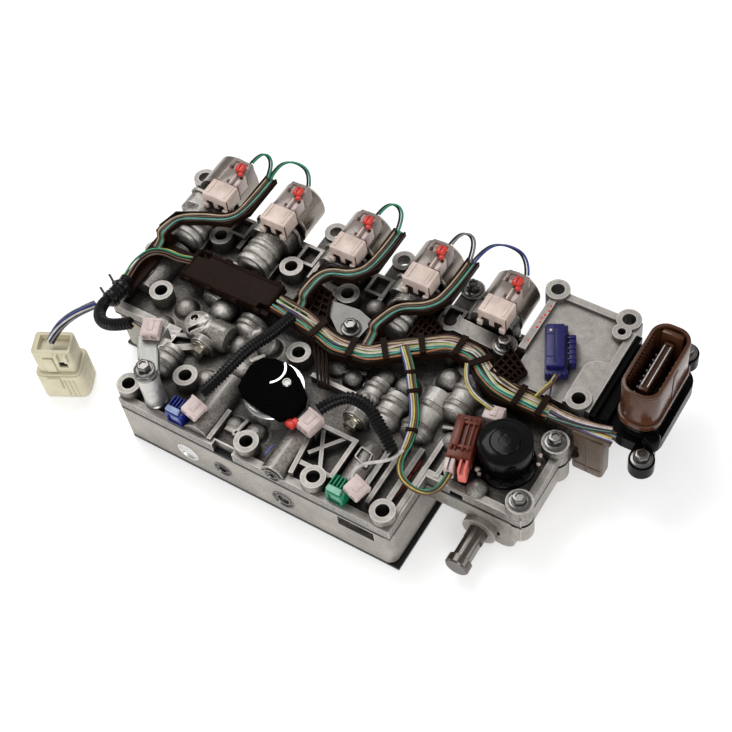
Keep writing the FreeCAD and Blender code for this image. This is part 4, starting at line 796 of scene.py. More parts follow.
# Wires in the channels of the frame
TRUNK = [(-94, 45), (-82, 43.5), (-70, 42), (-56, 38.5), (-41, 34.5), (-30, 36), (-20, 38), (-11, 45),
         (-2, 52), (10, 60.5), (22, 69), (32, 69.3), (42, 69), (54, 59.5), (66, 54.5), (84, 53.5), (101, 53)]
LANE_COLOURS = ["green", "brown", "cream", "teal", "black", "brown", "orange", "white", "brown", "black",
                "brown", "teal", "pink", "brown", "green", "black", "lemon", "violet", "orange", "white",
                "teal", "pink", "green", "cream", "white", "brown", "lemon"]
LANES_WIDE = 9
BED = 57.4
PAIR_R = 0.75
LANE_R = 0.62


def lane(points, across, level, wander):
    """A route beside a line in plan, at a lateral distance and level, that wanders a little."""
    route = []
    for n, (x, y) in enumerate(points):
        x0, y0 = points[max(n - 1, 0)]
        x1, y1 = points[min(n + 1, len(points) - 1)]
        length = math.hypot(x1 - x0, y1 - y0)
        side = across + random.uniform(-wander, wander)
        route.append((x - (y1 - y0) / length * side, y + (x1 - x0) / length * side,
                      level + random.uniform(-0.3, 0.3)))
    return route


def bundle():
    """The trunk's wires in three layers; every second one goes on to the elbow."""
    routes = []
    for n, colour in enumerate(LANE_COLOURS):
        across = -5.6 + 11.2 * ((n * 5) % LANES_WIDE) / (LANES_WIDE - 1)
        level = BED + 1.35 * (n // LANES_WIDE)
        first = 0 if n % 3 else random.choice((0, 2, 5))
        route = lane(TRUNK[first:], across * 0.9, level, 1.15)
        if n % 2:
            route += [(110 + random.uniform(-2, 2), 52.5 + across * 0.5, level),
                      (126, 54.5 + across * 0.4, level - 0.6), (139, 59 + across * 0.3, level - 1.2)]
        routes.append((route, colour))
    wires("bundle_wires", routes, LANE_R, ["main_bundle"])


bundle()

# Wires that leave the connectors, two by two
SIDES = (-1, 1)
PAIRS = [
    ([(-168, 128.7, 73), (-165, 136, 77), (-158, 137, 78), (-153, 132, 74), (-153, 125, 69)],
     "black", "green"),
    ([(-121, 128.7, 73), (-124, 137, 78), (-138, 139, 80), (-149, 134, 76), (-151, 125, 69)],
     "black", "green"),
    ([(-66, 128.7, 73), (-63, 136, 78), (-55, 138, 79), (-49, 133, 75), (-49, 124, 69)], "black", "green"),
    ([(-10.5, 128.7, 73), (-8, 136, 78), (0, 138, 79), (5, 133, 75), (5.5, 124, 69)], "black", "grey"),
    ([(45, 128.7, 73), (41, 138, 79), (25, 140, 81), (12, 135, 77), (8, 124, 69)], "black", "blue"),
    ([(93.4, 75.7, 63), (94, 70, 64), (92, 63, 64), (90, 57, 62.9)], "yellow", "brown"),
]


def beside(points, side):
    return [(x + 1.1 * side, y, z + 0.5 * side) for x, y, z in points]


pairs = [(beside(points, side), colour) for points, *colours in PAIRS
         for side, colour in zip(SIDES, colours)]
wires("pair_wires", pairs, PAIR_R, ["branch_wires"])

# Solenoid connectors: a stepped plug with two mouths whose insides carry painted shade, a clear middle and a
# red lock
SOLENOID_X = (-184.0, -128.75, -73.5, -18.25, 37.0)
CAN_Z = 52.0
CAN_CUT = 16.2
PLUG_SHIFT = 4.0
FIRST_PLUG_SHIFT = 12.0


def in_mouth(face):
    return 90.0 * MM < face.center.y < 93.5 * MM and face.center.z < 70.4 * MM


def solenoid_plug(middle, can_x):
    """The parts of one connector, on the middle of its plug and of its can along X."""
    mouths = [block("mouth", (middle + side * 4.6, 90.3, 66.2), (5.6, 5.0, 7.4), bevel=0.6) for side in SIDES]
    front = carved(block("plug_front", (middle, 97, 69.6), (20, 15, 12.8), bevel=1.2), mouths)
    # The inner faces of the mouths get painted shade.
    coloured(painted(front, WHITE), MOUTH_SHADE, in_mouth)
    back = sunk(block("plug_back", (middle, 122, 68.8), (15, 10, 13.6), bevel=1.0), faces_up, 1.6, 0.9)
    clear = block("plug_clear", (middle - 1.5, 110.8, 68.75), (11, 14.6, 13.5), bevel=1.0)
    step = block("plug_step", (middle + 5.2, 111, 68), (3.8, 13, 11.8), bevel=0.6)
    parts = [front, painted(back, WHITE_CLEAR), painted(clear, WHITE_CLEAR), painted(step, PINK_WHITE)]
    parts += blocks("plug_ridge", [((middle + 2.2, 109.5, 75.6), (1.3, 9, 1.0), 0.3)], WHITE)
    for side in SIDES:
        parts += blocks("foot", [((middle + side * 7.9, 88.8, 65), (4, 2.6, 4.4), 0.7)], WHITE)
        parts += blocks("rail", [((middle + side * 6.9, 97.5, 76.1), (1.6, 12, 0.9), 0.3)], WHITE)
    bits = ((-4.5, 118.3, 76.2), (6.3, 113.5, 74.0), (0.6, 106.5, 75.7))
    parts += blocks("bit", [((middle + x, y, z), (2.0, 2.2, 1.0), 0.3) for x, y, z in bits], SEAL_BROWN)
    parts += blocks("gasket", [((middle + 0.5, 104.7, 69.2), (18.5, 0.8, 12.4), 0.3)], SEAL_BROWN)
    for part in (back, clear, step, parts[-1]):
        carved(part, [rod("can_room", (can_x, 100, CAN_Z), CAN_CUT, 40, "y", 64)])
    return smooth(joined("plug", parts))


def lock(middle):
    """The red lock on a connector: a rounded pad with a slot and a small knob beside it."""
    pad = block("lock_pad", (middle + 3.2, 118.4, 78.1), (6.4, 6.8, 3.4), bevel=1.4, segments=3)
    slot = block("lock_slot", (middle + 3.2, 118.4, 79.8), (1.0, 4.6, 1.6), bevel=0.2)
    knob = block("lock_knob", (middle + 5.4, 114.4, 76.9), (3.4, 3.2, 2.6), bevel=0.9, segments=3)
    return smooth(joined("lock", [carved(pad, [slot]), knob]), 40.0)


def connectors():
    """Five connectors, of which the first sits further to the right on its can."""
    first = solenoid_plug(SOLENOID_X[0] + FIRST_PLUG_SHIFT, SOLENOID_X[0])
    second = solenoid_plug(SOLENOID_X[1] + PLUG_SHIFT, SOLENOID_X[1])
    plugs = [first, second] + [twin(second, "plug", (x - SOLENOID_X[1], 0, 0)) for x in SOLENOID_X[2:]]
    finish(joined("connector_plugs", plugs), None, ["solenoid_connectors"])
    red = lock(SOLENOID_X[0] + FIRST_PLUG_SHIFT)
    step = SOLENOID_X[0] + FIRST_PLUG_SHIFT - PLUG_SHIFT
    locks = [red] + [twin(red, "lock", (x - step, 0, 0)) for x in SOLENOID_X[1:]]
    finish(joined("connector_locks", locks), RED, ["lock_clips"])


connectors()


# Rolled edges of the cans and the discs at their backs
def can_edges():
    ring = lathe("can_ring", [(15.7, 0.1), (16.35, 0.4), (16.35, 2.2), (16.1, 2.6), (15.7, 2.7), (15.7, 0.1)],
                 (SOLENOID_X[0], 106, CAN_Z), "y", 56)
    disc = lathe("can_disc", [(0, 0), (10.5, 0), (10.5, 0.5), (8.5, 0.9), (8.5, 0.4), (0, 0.4)],
                 (SOLENOID_X[0], 133.9, CAN_Z), "y", 40)
    rim = joined("can_edge", [ring, disc])
    rims = [rim] + [twin(rim, "can_edge", (x - SOLENOID_X[0], 0, 0)) for x in SOLENOID_X[1:]]
    finish(joined("can_edges", rims), CAN_METAL)


can_edges()

# Bolts: a washer flange under a six-sided head with a dished top
UPRIGHT_BOLTS = [(112.5, -7.0, 53.0), (112.0, 39.0, 53.0), (52.0, 86.0, 55.4), (-41.1, 52.0, 55.4),
                 (9.45, 120.5, 47.0), (-127.0, -48.0, 79.6), (161.0, 55.0, 48.0), (152.0, 137.0, 48.0)]
SIDE_BOLTS = [(-5.0, -4.0, 50.0), (-123.0, -3.0, 50.0)]
FLANGE_R = 6.8
HEAD_R = 4.55


def bolt(name, place, along="z"):
    """A flanged hex bolt that stands on its seat."""
    profile = [(0, 0), (FLANGE_R, 0), (FLANGE_R, 0.9), (6.3, 1.15), (5.3, 1.3), (4.9, 1.9), (0, 1.9)]
    washer = lathe("washer", profile, (0, 0, 0), "z", 40)
    head = soften(rod("head", (0, 0, 1.6), HEAD_R, 4.6, "z", 6), 0.5, 2, 50.0)
    piece = joined(name, [washer, sunk(head, faces_up, 1.1, 0.9)])
    if along == "y":
        turned_mesh(piece, 90.0, (0, 0, 0), "X")
    return smooth(moved(piece, place), 30.0)


def upright_bolts():
    """Copies of one bolt, each turned a little differently."""
    first = bolt("bolt", UPRIGHT_BOLTS[0])
    x0, y0, z0 = UPRIGHT_BOLTS[0]
    bolts = [first]
    for n, (x, y, z) in enumerate(UPRIGHT_BOLTS[1:]):
        copy = twin(first, "bolt", (x - x0, y - y0, z - z0))
        bolts.append(turned_mesh(copy, 17.0 + 23.0 * n, (x, y, z)))
    finish(joined("upright_bolts", bolts), BOLT_DARK, ["flange_bolts"])


upright_bolts()
side_bolts = [bolt("side_bolt", place, "y") for place in SIDE_BOLTS]
finish(joined("level_bolts", side_bolts), BOLT_ZINC, ["side_bolts"])

# Connector to the vehicle: ribbed shell around a blade, pins at both sides
CASE_X = 149.0
CASE_Y = 95.0
CASE_RIBS = 14


def case_plug():
    room = pillar("case_room", (CASE_X, CASE_Y, 78), (20.6, 51.6, 32), 7.8, bevel=0)
    shell = carved(pillar("case_shell", (CASE_X, CASE_Y, 75), (25, 56, 34), 10, bevel=0.7, steps=8), [room])
    parts = [shell, pillar("case_waist", (CASE_X, CASE_Y, 60.5), (27.5, 58.5, 5), 11, bevel=0.8, steps=8),
             pillar("case_neck", (CASE_X, CASE_Y, 53), (21, 52, 10), 9, bevel=0.3, steps=8)]
    step = pillar("case_step", (CASE_X, CASE_Y, 89.4), (25.5, 56.5, 1.6), 10.2, bevel=0.4, steps=8)
    parts.append(carved(step, [pillar("case_room", (CASE_X, CASE_Y, 89.4), (20.6, 51.6, 4), 7.8, bevel=0)]))
    parts.append(sunk(block("case_blade", (CASE_X, CASE_Y, 72), (6, 38, 28), bevel=0.8), faces_up, 1.0, 1.2))
    parts.append(block("case_key", (CASE_X, CASE_Y + 23.4, 77), (14, 4, 26), bevel=0.8))
    for side in SIDES:
        for n in range(CASE_RIBS):
            place = (CASE_X + side * 9.9, 78.5 + 2.55 * n, 77)
            parts.append(block("rib", place, (1.0, 1.1, 25), bevel=0.25, segments=1))
        parts.append(block("outer_rib", (CASE_X + side * 12.6, CASE_Y, 76), (0.8, 6, 22), bevel=0.35))
    parts = [smooth(painted(part, CASE_BROWN)) for part in parts]
    pin = painted(rod("pin", (CASE_X - 6.4, 80, 61.5), 0.75, 13, "z", 10, 0.2), BRIGHT_METAL)
    shifts = [(side * 12.8, 4.3 * n, 0) for side in (0, 1) for n in range(8)]
    pins = [pin] + [twin(pin, "pin", shift) for shift in shifts[1:]]
    strips = blocks("strip", [((CASE_X + side * 1.9, CASE_Y, 86.2), (0.7, 32, 0.7), 0.15) for side in SIDES],
                    BRIGHT_METAL)
    finish(joined("case_plug", parts + pins + strips), None, ["case_connector"])


case_plug()
button = lathe("case_button", [(0, 0), (5.5, 0), (5.5, 7.6), (4.7, 9.0), (3.4, 9.3), (3.2, 8.2), (0, 8.2)],
               (161.5, 66.5, 48.0), "z", 36)
finish(button, BLACK)

# Cap sensor: a ribbed neck on a flange under a grooved cap
CAP = (90.0, 17.5, 42.0)
NECK_RINGS = 6
FLUTES = 15


def cap_sensor():
    profile = [(0, 0), (18.5, 0), (18.5, 2.8), (17.6, 3.6), (15.4, 4.2), (15.0, 5.0)]
    for n in range(NECK_RINGS):
        height = 5.2 + 1.85 * n
        profile += [(13.6, height), (13.6, height + 0.85), (15.2, height + 0.95), (15.2, height + 1.7)]
    profile += [(16.6, 16.4), (17.0, 16.8), (17.0, 24.0), (16.5, 25.0), (15.2, 25.5), (14.6, 25.2),
                (14.0, 25.6), (9.6, 26.3), (9.1, 25.9), (8.6, 26.4), (4.2, 26.8), (3.8, 26.4), (0, 26.5)]
    parts = [lathe("cap_body", profile, CAP, "z", 72)]
    for n in range(FLUTES):
        flute = block("flute", (CAP[0] + 15.4, CAP[1], 46.6), (3.0, 1.6, 7.4), bevel=0.4)
        parts.append(turned_mesh(flute, 360.0 / FLUTES * n, CAP))
    finish(joined("cap_body", parts), CAP_BLACK, ["cap_sensor"])


cap_sensor()

# Harness: ribs of the open lattices, wires in the raised channels and the lid of the duct
LATTICES = [([(-86, 50), (-56, 47), (-66, 69), (-84, 71)], 55.0),
            ([(-4.5, 57), (10, 60), (12, 78), (-4, 86)], 55.0),
            ([(55, 61), (72, 60), (76, 71), (58, 84)], 57.3)]
LATTICE_SHARES = (0.03, 0.27, 0.5, 0.73, 0.97)


def between(one, other, share):
    return (one[0] + (other[0] - one[0]) * share, one[1] + (other[1] - one[1]) * share)


def lattices():
    """Thin pads with a grid of upright ribs."""
    parts = []
    for (a, b, c, d), level in LATTICES:
        parts.append(plate("lattice_pad", (a, b, c, d), level, level + 1.4, 0.3))
        for share in LATTICE_SHARES:
            for near, far in (((a, b), (d, c)), ((a, d), (b, c))):
                start, end = between(*near, share), between(*far, share)
                parts.append(wall("rib", start, end, 1.2, level + 0.8, level + 4.2))
    finish(smooth(joined("lattice_ribs", parts)), FRAME_BROWN)


lattices()

BRANCHES = [
    [(-193, 46), (-193, 57), (-190, 70), (-174, 78), (-158, 84), (-152, 96), (-152, 127)],
    [(-78, 44), (-78, 57), (-77, 70), (-72, 78), (-58, 82), (-49, 95), (-49, 127)],
    [(-24, 40), (-24, 57), (-18, 74), (-2.25, 82), (5.75, 95), (6.4, 127)],
]
BRANCH_COLOURS = ("brown", "teal", "green", "brown", "black", "cream", "brown")
CHANNEL_BED = 67.0


def branch_lanes():
    """Wires that climb from the trunk into each raised channel."""
    routes = []
    for points in BRANCHES:
        (x0, y0), (x1, y1) = points[:2]
        for n, colour in enumerate(BRANCH_COLOURS):
            across = -2.7 + 0.9 * n
            route = lane(points[1:], across, CHANNEL_BED - 0.3 + 0.9 * (n % 2), 0.5)
            rise = [(x0 - across, y0, 58.4), (x1 - across, y1 - 4.2, 60.0), (x1 - across, y1 - 4.0, 66.5)]
            routes.append((rise + route, colour))
    wires("branch_lanes", routes, LANE_R)


branch_lanes()

LID = (-130.0, 46.0, 59.0)
LID_TAB_X = (-158, -141, -120, -102)


def duct_lid():
    lid = sunk(block("lid", LID, (70, 24, 5), bevel=1.2), faces_up, 1.4, 0.6)
    carved(lid, [block("notch", (-157.5, 55.5, 60), (9, 7, 8), bevel=0.5),
                 block("notch", (-99, 36, 60), (8, 6, 8), bevel=0.5)])
    tabs = [block("tab", (x, y, 58.8), (5, 2.2, 3.6), bevel=0.6) for x in LID_TAB_X for y in (33.6, 58.6)]
    finish(smooth(joined("duct_lid", [lid] + tabs)), FRAME_BROWN, ["duct_cover"])


duct_lid()

# Control unit: its blue connector and the paint dots on its cover
UNIT_PLUG = (84.5, 93.0)
UNIT_PLUG_TURN = 27.3
RED_DOTS = [(65.1, 122.9), (65.8, 118.9), (65, 115), (64.4, 112), (64.8, 108.7), (64.9, 104.4), (64.7, 93)]
UNIT_TOP = 59.95


def unit_plug():
    x, y = UNIT_PLUG
    low = block("unit_low", (x, y, 60), (14.5, 37, 6), bevel=0.6)
    high = block("unit_high", (x - 0.6, y + 1, 64.6), (11.5, 32, 4.8), bevel=0.8)
    grooves = [block("groove", (x - 0.6, y + 1, 67.2), (1.2, 27, 1.8), bevel=0.1),
               block("groove", (x - 0.6, y - 8, 67.4), (13, 1.0, 1.4), bevel=0.1),
               block("groove", (x - 0.6, y + 9, 67.4), (13, 1.0, 1.4), bevel=0.1)]
    parts = [painted(low, UNIT_BLUE), painted(carved(high, grooves), UNIT_BLUE)]
    ribs = [((x + 9.4, y - 0.3, 60.6), (5.6, 21.6, 7), 0.7)]
    ribs += [((x - 5 + 2.5 * n, y - 18.8, 61.5), (1.2, 1.6, 5.5), 0.25) for n in range(5)]
    ribs += [((x + 9.4, y - 8 + 4 * n, 64.3), (5.0, 1.2, 0.9), 0.2) for n in range(5)]
    parts += blocks("unit_rib", ribs, UNIT_BLUE)
    parts += blocks("slider", [((x + 7.2, y - 2, 60.5), (1.6, 25, 7.6), 0.4)], BLACK)
    parts.append(painted(rod("dot", (x - 3.5, y + 12, 66.6), 0.9, 0.5, "z", 20, 0.1), WHITE))
    piece = turned_mesh(joined("unit_plug", parts), UNIT_PLUG_TURN, (x, y, 60))
    finish(smooth(piece), None, ["unit_connector"])


def paint_dots():
    """Flat drops of paint in three sizes."""
    dots = []
    for n, (x, y) in enumerate(RED_DOTS):
        profile = [(0, 0), (0.9 + 0.12 * (n % 3), 0), (0.7, 0.16), (0, 0.2)]
        dots.append(lathe("dot", profile, (x, y, UNIT_TOP), "z", 16))
    finish(joined("paint_dots", dots), RED)


unit_plug()
paint_dots()

# Elbow that leads the wires down, with its grooves, mouth and hook
ELBOW_COLOURS = ("brown", "violet", "white", "lemon", "red", "teal", "brown", "cream")


def elbow():
    post = pillar("elbow_post", (128.3, 53.75, 35.4), (21, 11.3, 38.6), 2.6, bevel=0.8)
    carved(post, [block("groove", (128.4, 47.6, 34), (1.4, 1.6, 44), bevel=0),
                  block("mouth", (120.9, 48.2, 41), (3.4, 3.4, 9), bevel=0.5),
                  block("groove", (128.2, 47.8, 24), (24, 1.4, 1.2), bevel=0),
                  rod("hook", (117, 44, 33), 6.5, 20, "y", 40)])
    slab = plate("elbow_slab", [(118, 48.2), (142.3, 50.2), (142.3, 59.3), (118, 59.3)], 53.2, 55.0, 0.5)
    lips = [wall("lip", (118.4, 48.6), (142, 50.6), 1.2, 54.6, 57.4),
            wall("lip", (118.4, 59), (142, 59), 1.2, 54.6, 57.4)]
    finish(smooth(joined("elbow_guide", [post, slab] + lips)), TAN, ["wire_elbow"])
    routes = []
    for n, colour in enumerate(ELBOW_COLOURS):
        y = 50.2 + 1.15 * n
        route = [(96, y - 1.5, 58.6), (108, y - 0.8, 57.8), (120, y - 0.1, 56.6), (132, y + 0.2, 56.2),
                 (141 + 0.8 * (n % 3), y + 1.5, 55.6)]
        routes.append((route, colour))
    wires("elbow_wires", routes, 0.72)


elbow()

# Range connector: brick body with rails, white slotted clip and salmon tab
RANGE = (65.5, 11.0)
RANGE_TURN = 15.5
RANGE_CLIP = (66.5, -8.6, 57)
RANGE_TAB = (74.8, -6.9, 57.5)


def range_body():
    x, y = RANGE
    body = block("range_body", (x, y, 57.2), (15, 30, 14.4), bevel=0.9)
    carved(body, [block("range_room", (x + 1.2, y - 15, 57), (9.5, 7, 8), bevel=0.4),
                  block("range_slit", (x - 1.2, y + 2, 64.6), (1.3, 20, 3), bevel=0.2)])
    rails = [((x + shift, y + 1, 65.2), (1.3, 23, 2.4), 0.4) for shift in (-5.6, -3.2, 1.4, 4.6)]
    bars = [((x - 3.5, y + 1.0, 66.6), (4.0, 19.5, 1.7), 0.6), ((x + 2, y - 8, 65.4), (9.6, 2.0, 1.8), 0.5),
            ((x + 2, y + 9, 65.4), (9.6, 2.0, 1.8), 0.5)]
    parts = [painted(body, BRICK)] + blocks("range_rail", rails, BRICK) + blocks("range_bar", bars, BRICK)
    parts += blocks("range_end", [((x + 0.5, y + 14.9, 56.5), (13, 1.4, 9), 0.5)], TAN)
    piece = turned_mesh(joined("range_body", parts), RANGE_TURN, (x, y, 57))
    finish(smooth(piece), None, ["range_connector"])


def range_clips():
    x, y, z = RANGE_CLIP
    clip = carved(block("range_clip", RANGE_CLIP, (6, 8, 12), bevel=1.0), [
        block("clip_slit", (x, y, z + 5.5), (1.2, 9, 4), bevel=0.1),
        block("clip_slit", (x, y - 3.8, z - 1), (3.2, 2.2, 6), bevel=0.2)])
    turned_mesh(painted(clip, PINK_WHITE), RANGE_TURN, RANGE_CLIP)
    x, y, z = RANGE_TAB
    tab = carved(block("range_tab", RANGE_TAB, (5.5, 9, 13), bevel=1.0),
                 [block("tab_room", (x, y, z + 5.3), (2.4, 10, 5.5), bevel=0.3)])
    turned_mesh(painted(tab, SALMON), RANGE_TURN, RANGE_TAB)
    finish(smooth(joined("range_clips", [tab, clip])), None, ["range_plug"])


range_body()
range_clips()


# Pressure switches: finned bodies with a pale face
def pressure_switch(name, colour, pale, x, y, replaced):
    body = block("switch_body", (x, y, 49), (12, 13, 14), bevel=0.9)
    carved(body, [block("switch_room", (x, y - 6, 50), (8.2, 3.4, 8.6), bevel=0.3)])
    parts = [painted(body, colour)] + blocks("switch_face", [((x, y - 4.6, 50), (8, 1.0, 8.4), 0.2)], pale)
    fins = [((x + shift, y + 2.2, 56.8), (1.0, 8, 2.6), 0.3) for shift in (-5.0, -2.6, -0.2, 2.2)]
    parts += blocks("fin", fins, colour)
    parts += blocks("switch_top", [((x - 0.6, y - 3.8, 57.0), (9.6, 3.6, 3.0), 0.5)], pale)
    parts += blocks("switch_arm", [((x + 5.2, y - 3, 54.4), (3.0, 5, 3.2), 0.5)], colour)
    finish(smooth(joined(name, parts)), None, replaced)


pressure_switch("blue_switch_body", BLUE, PALE_BLUE, -106.0, -50.5, ["blue_switch"])
pressure_switch("green_switch_body", GREEN, PALE_GREEN, 14.0, -50.5, ["green_switch"])


# Small connectors of the switches, the round cover, the cap sensor and the bracket
def small_plug(name, middle, size, turn, tilt=0.0):
    """A pink-white connector with two mouths, a latch and a lip."""
    x, y, z = middle
    wide, long, high = size
    body = block("small_body", middle, size, bevel=0.9)
    room = (wide * 0.28, 3.0, high * 0.5)
    places = [(x + side * wide * 0.22, y - long / 2, z) for side in SIDES]
    carved(body, [block("room", place, room, bevel=0.2) for place in places])
    latch = block("small_latch", (x, y + long * 0.05, z + high / 2), (wide * 0.34, long * 0.62, 1.2),
                  bevel=0.4)
    lip = block("small_lip", (x, y + long / 2 - 1.2, z), (wide + 0.8, 1.8, high + 0.6), bevel=0.5)
    piece = smooth(joined(name, [body, latch, lip]))
    turned_mesh(piece, tilt, middle, "Y")
    turned_mesh(piece, turn, middle)
    return painted(piece, PINK_WHITE)


switch_plugs = [small_plug("switch_plug", (-94.6, -47.5, 58.2), (12, 12, 6.4), -8.0, 14.0),
                small_plug("switch_plug", (25.4, -47.5, 58.2), (12, 12, 6.4), -14.0, 14.0)]
finish(joined("switch_plugs", switch_plugs), None, ["switch_connectors"])
cover_plug = small_plug("cover_plug", (-24, -22.2, 58.6), (12, 14, 8.4), -12.0)
finish(cover_plug, None, ["cover_connector"])
cover_pads = [block("cover_pad", (-33.6, -29, 60), (6.4, 5.2, 4.6), -12.0, 1.2),
              block("cover_pad", (-31.2, -27, 62), (4.2, 3.6, 2.4), -12.0, 0.8)]
finish(smooth(joined("cover_lock", cover_pads)), RED)
cap_plug = small_plug("cap_plug", (70.5, 38, 49.6), (12.4, 10.4, 14.6), 10.0)
finish(cap_plug, None, ["cap_connector"])
bracket_plug = small_plug("bracket_plug", (-139.5, -22.5, 83.2), (12, 13, 7.2), 24.0)
finish(bracket_plug, None, ["bracket_connector"])

# Round cover: a matt black lid on a bright stepped can
COVER = [(-76, -24), (-78, -8), (-74, 1), (-66, 4.6), (-56, 4.6), (-44, -1), (-34, -9), (-31, -16),
         (-33, -25), (-40, -32), (-56, -30.6), (-70, -28)]
COVER_TOP = 66.6


def round_cover():
    """The lid and its disc, the can under them, a small screw and a bright crescent."""
    lid = plate("cover_lid", COVER, 59.5, COVER_TOP, 1.6)
    can = lathe("cover_step", [(0, 0), (20, 0), (20, 12.5), (19.4, 13.2), (18.4, 13.2), (18.4, 15.6),
                               (19.6, 16.2), (19.6, 17.6), (0, 17.6)], (-58, -12, 42), "z", 64)
    disc = lathe("cover_disc", [(0, 0), (16.4, 0), (16.4, 0.9), (15.8, 1.3), (13.6, 1.3), (13.2, 0.8),
                                (0, 0.9)], (-57.5, -12.5, 66), "z", 56)
    screw = lathe("cover_screw", [(0, 0), (3.2, 0), (3.2, 1.1), (2.7, 1.7), (2.0, 1.7), (1.8, 1.2), (0, 1.2)],
                  (-48.9, -8.4, COVER_TOP), "z", 28)
    arc = lathe("cover_arc", [(9.7, 0), (11.0, 0), (11.0, 1.2), (9.7, 1.2), (9.7, 0)],
                (-64.4, -5.0, 66.5), "z", 56)
    carved(arc, [block("arc_cut", (-74.2, -5.0, 67), (32, 40, 6), bevel=0)])
    parts = [painted(lid, COVER_BLACK), painted(disc, COVER_BLACK), painted(can, BRIGHT_METAL),
             painted(screw, BOLT_DARK), painted(arc, BRIGHT_METAL)]
    finish(smooth(joined("cover_body", parts)), None, ["round_cover"])


round_cover()

# Loose wires in a thin guide from the trunk to the front, with bands and a loop to the range plug
GUIDE = [(-1, 52), (9, 42), (17, 31), (26, 19), (33, 7), (37, -6)]
GUIDE_BED = 61.0
BAND_SPANS = (1, 2, 4)
COMB_BACK = ((-57.7, 33.0), (-48.2, 33.0))
COMB_FRONT = ((-35.5, 4.5), (-28.9, 6.0))
RANGE_LOOP = [(37, -14), (38.5, -22.5), (45, -29.5), (55.5, -33), (65, -31), (70, -23), (71, -12)]
GUIDE_COLOURS = ("blue", "white", "brown", "yellow", "black", "brown", "green")
WHITE_ROUTE = [(37, -13, 60.8), (35.5, -20, 60.5), (28.9, -26.2, 60.2), (21.3, -31.1, 60), (17, -39, 59.8),
               (20.5, -45.5, 58)]


def wire_guide():
    """The guide with its bands, and the comb of the frame beside the round cover."""
    spans = list(zip(GUIDE, GUIDE[1:]))
    parts = [wall("guide", start, end, 6.4, GUIDE_BED - 1.6, GUIDE_BED - 0.5, 0.2) for start, end in spans]
    for start, end in [spans[n] for n in BAND_SPANS]:
        parts.append(wall("band", between(start, end, 0.35), between(start, end, 0.55), 7.6, GUIDE_BED - 2,
                          GUIDE_BED + 1.9, 0.6))
    for n in range(4):
        start, end = between(*COMB_BACK, n / 3), between(*COMB_FRONT, n / 3)
        parts.append(wall("finger", start, end, 1.3, 54.2, 57.6, 0.3))
    parts.append(wall("finger", *COMB_FRONT, 1.3, 54.2, 56.6, 0.3))
    finish(smooth(joined("wire_guide", parts)), FRAME_BROWN)


def guide_wires():
    """Two wires end at the front, the others loop back to the range plug."""
    routes = []
    for n, colour in enumerate(GUIDE_COLOURS):
        across = -2.4 + 0.8 * n
        route = lane(GUIDE, across, GUIDE_BED + 0.7 * (n % 2), 0.35)
        if n > 1:
            loop = lane(RANGE_LOOP, across * 0.9, 58.6, 0.5)
            route += loop[:-1] + [(loop[-1][0] - 2, loop[-1][1], 57.6)]
        else:
            route.append((37 + across * 0.4, -15, 60.5))
        routes.append((route, colour))
    wires("guide_wires", routes, LANE_R)
    wires("white_wire", [(WHITE_ROUTE, "white")], 1.15)


wire_guide()
guide_wires()

# Wires from the lid of the duct to the taped joint on the left
LEFT_ARC = [(-163, 47), (-172, 44.5), (-184, 45), (-193.5, 41), (-197, 30), (-195.5, 17), (-193, 8)]
ARC_COLOURS = ("yellow", "lemon", "green", "brown", "cream", "brown", "violet", "black", "brown")
TAPED = [(-192.5, 9, 60.4), (-192, 4, 61), (-191.8, -2, 62), (-192.6, -8, 63)]

arc_routes = [(lane(LEFT_ARC, -3.2 + 0.8 * n, 59.4 + 0.9 * (n % 3), 0.5), colour)
              for n, colour in enumerate(ARC_COLOURS)]
wires("arc_wires", arc_routes, LANE_R)


def taped_joint():
    """Tape in uneven turns, two ties and their loose tails."""
    track = even(line_points(TAPED), 0.8 * MM)
    radii = [5.4 + 0.5 * math.sin(1.7 * n) for n in range(len(track))]
    parts = [smooth(skin("tape", track, radii, 18), 60.0)]
    parts += [lathe("tie", [(5.0, 0), (6.1, 0), (6.1, 2.4), (5.0, 2.4), (5.0, 0)], (-192.2, y, 61.2), "y", 28)
              for y in (5.2, -5.5)]
    parts += [wall("tail", (-198, 6.4), (-206, 11), 1.6, 61.4, 62.3),
              wall("tail", (-197.6, -4.4), (-204, -1), 1.6, 62.4, 63.3),
              block("tie_head", (-197.4, 6.4, 62), (3.2, 3.4, 3.4), -28.0, 0.5)]
    finish(joined("taped_joint", parts), TUBE_BLACK)


taped_joint()

# Short wires at the cap sensor's plug, the unit's plug and the bracket's plug
CAP_LANE = [(40, 60), (44, 51), (52, 43.5), (61, 40), (69, 40)]
plug_routes = [(lane(CAP_LANE, shift, 60.0, 0.3)[:-1] + [(69, 40 + shift, 57.2)], colour)
               for shift, colour in ((-1.2, "yellow"), (0.0, "white"), (1.2, "black"))]
plug_routes += [([(96.5, 60, 61), (95, 66, 62.4), (92, 73, 63.5), (93 + n, 77, 63)], colour)
                for n, colour in enumerate(("yellow", "brown", "violet"))]
wires("plug_wires", plug_routes, LANE_R)
wires("bracket_wires", [([(-153.5, -24.2 + n, 82.6), (-149, -25 + n, 83), (-145, -25.4 + n, 83)], colour)
                        for n, colour in enumerate(("cream", "black"))], LANE_R)

# Rings and round ends of the cast bores that swell out of the deck: x, front y, length, radius
# and the height of the axis
SWELLS = [(46.0, 30.0, 28.0, 9.5, 43.5), (31.0, 6.0, 34.0, 9.5, 43.5), (10.0, 4.0, 22.0, 9.0, 44.0),
          (-6.0, 10.0, 20.0, 7.0, 45.0), (-140.0, 34.0, 30.0, 9.0, 43.5), (-105.0, 21.0, 12.0, 9.0, 44.0),
          (-140.0, -30.0, 20.0, 8.0, 43.5)]


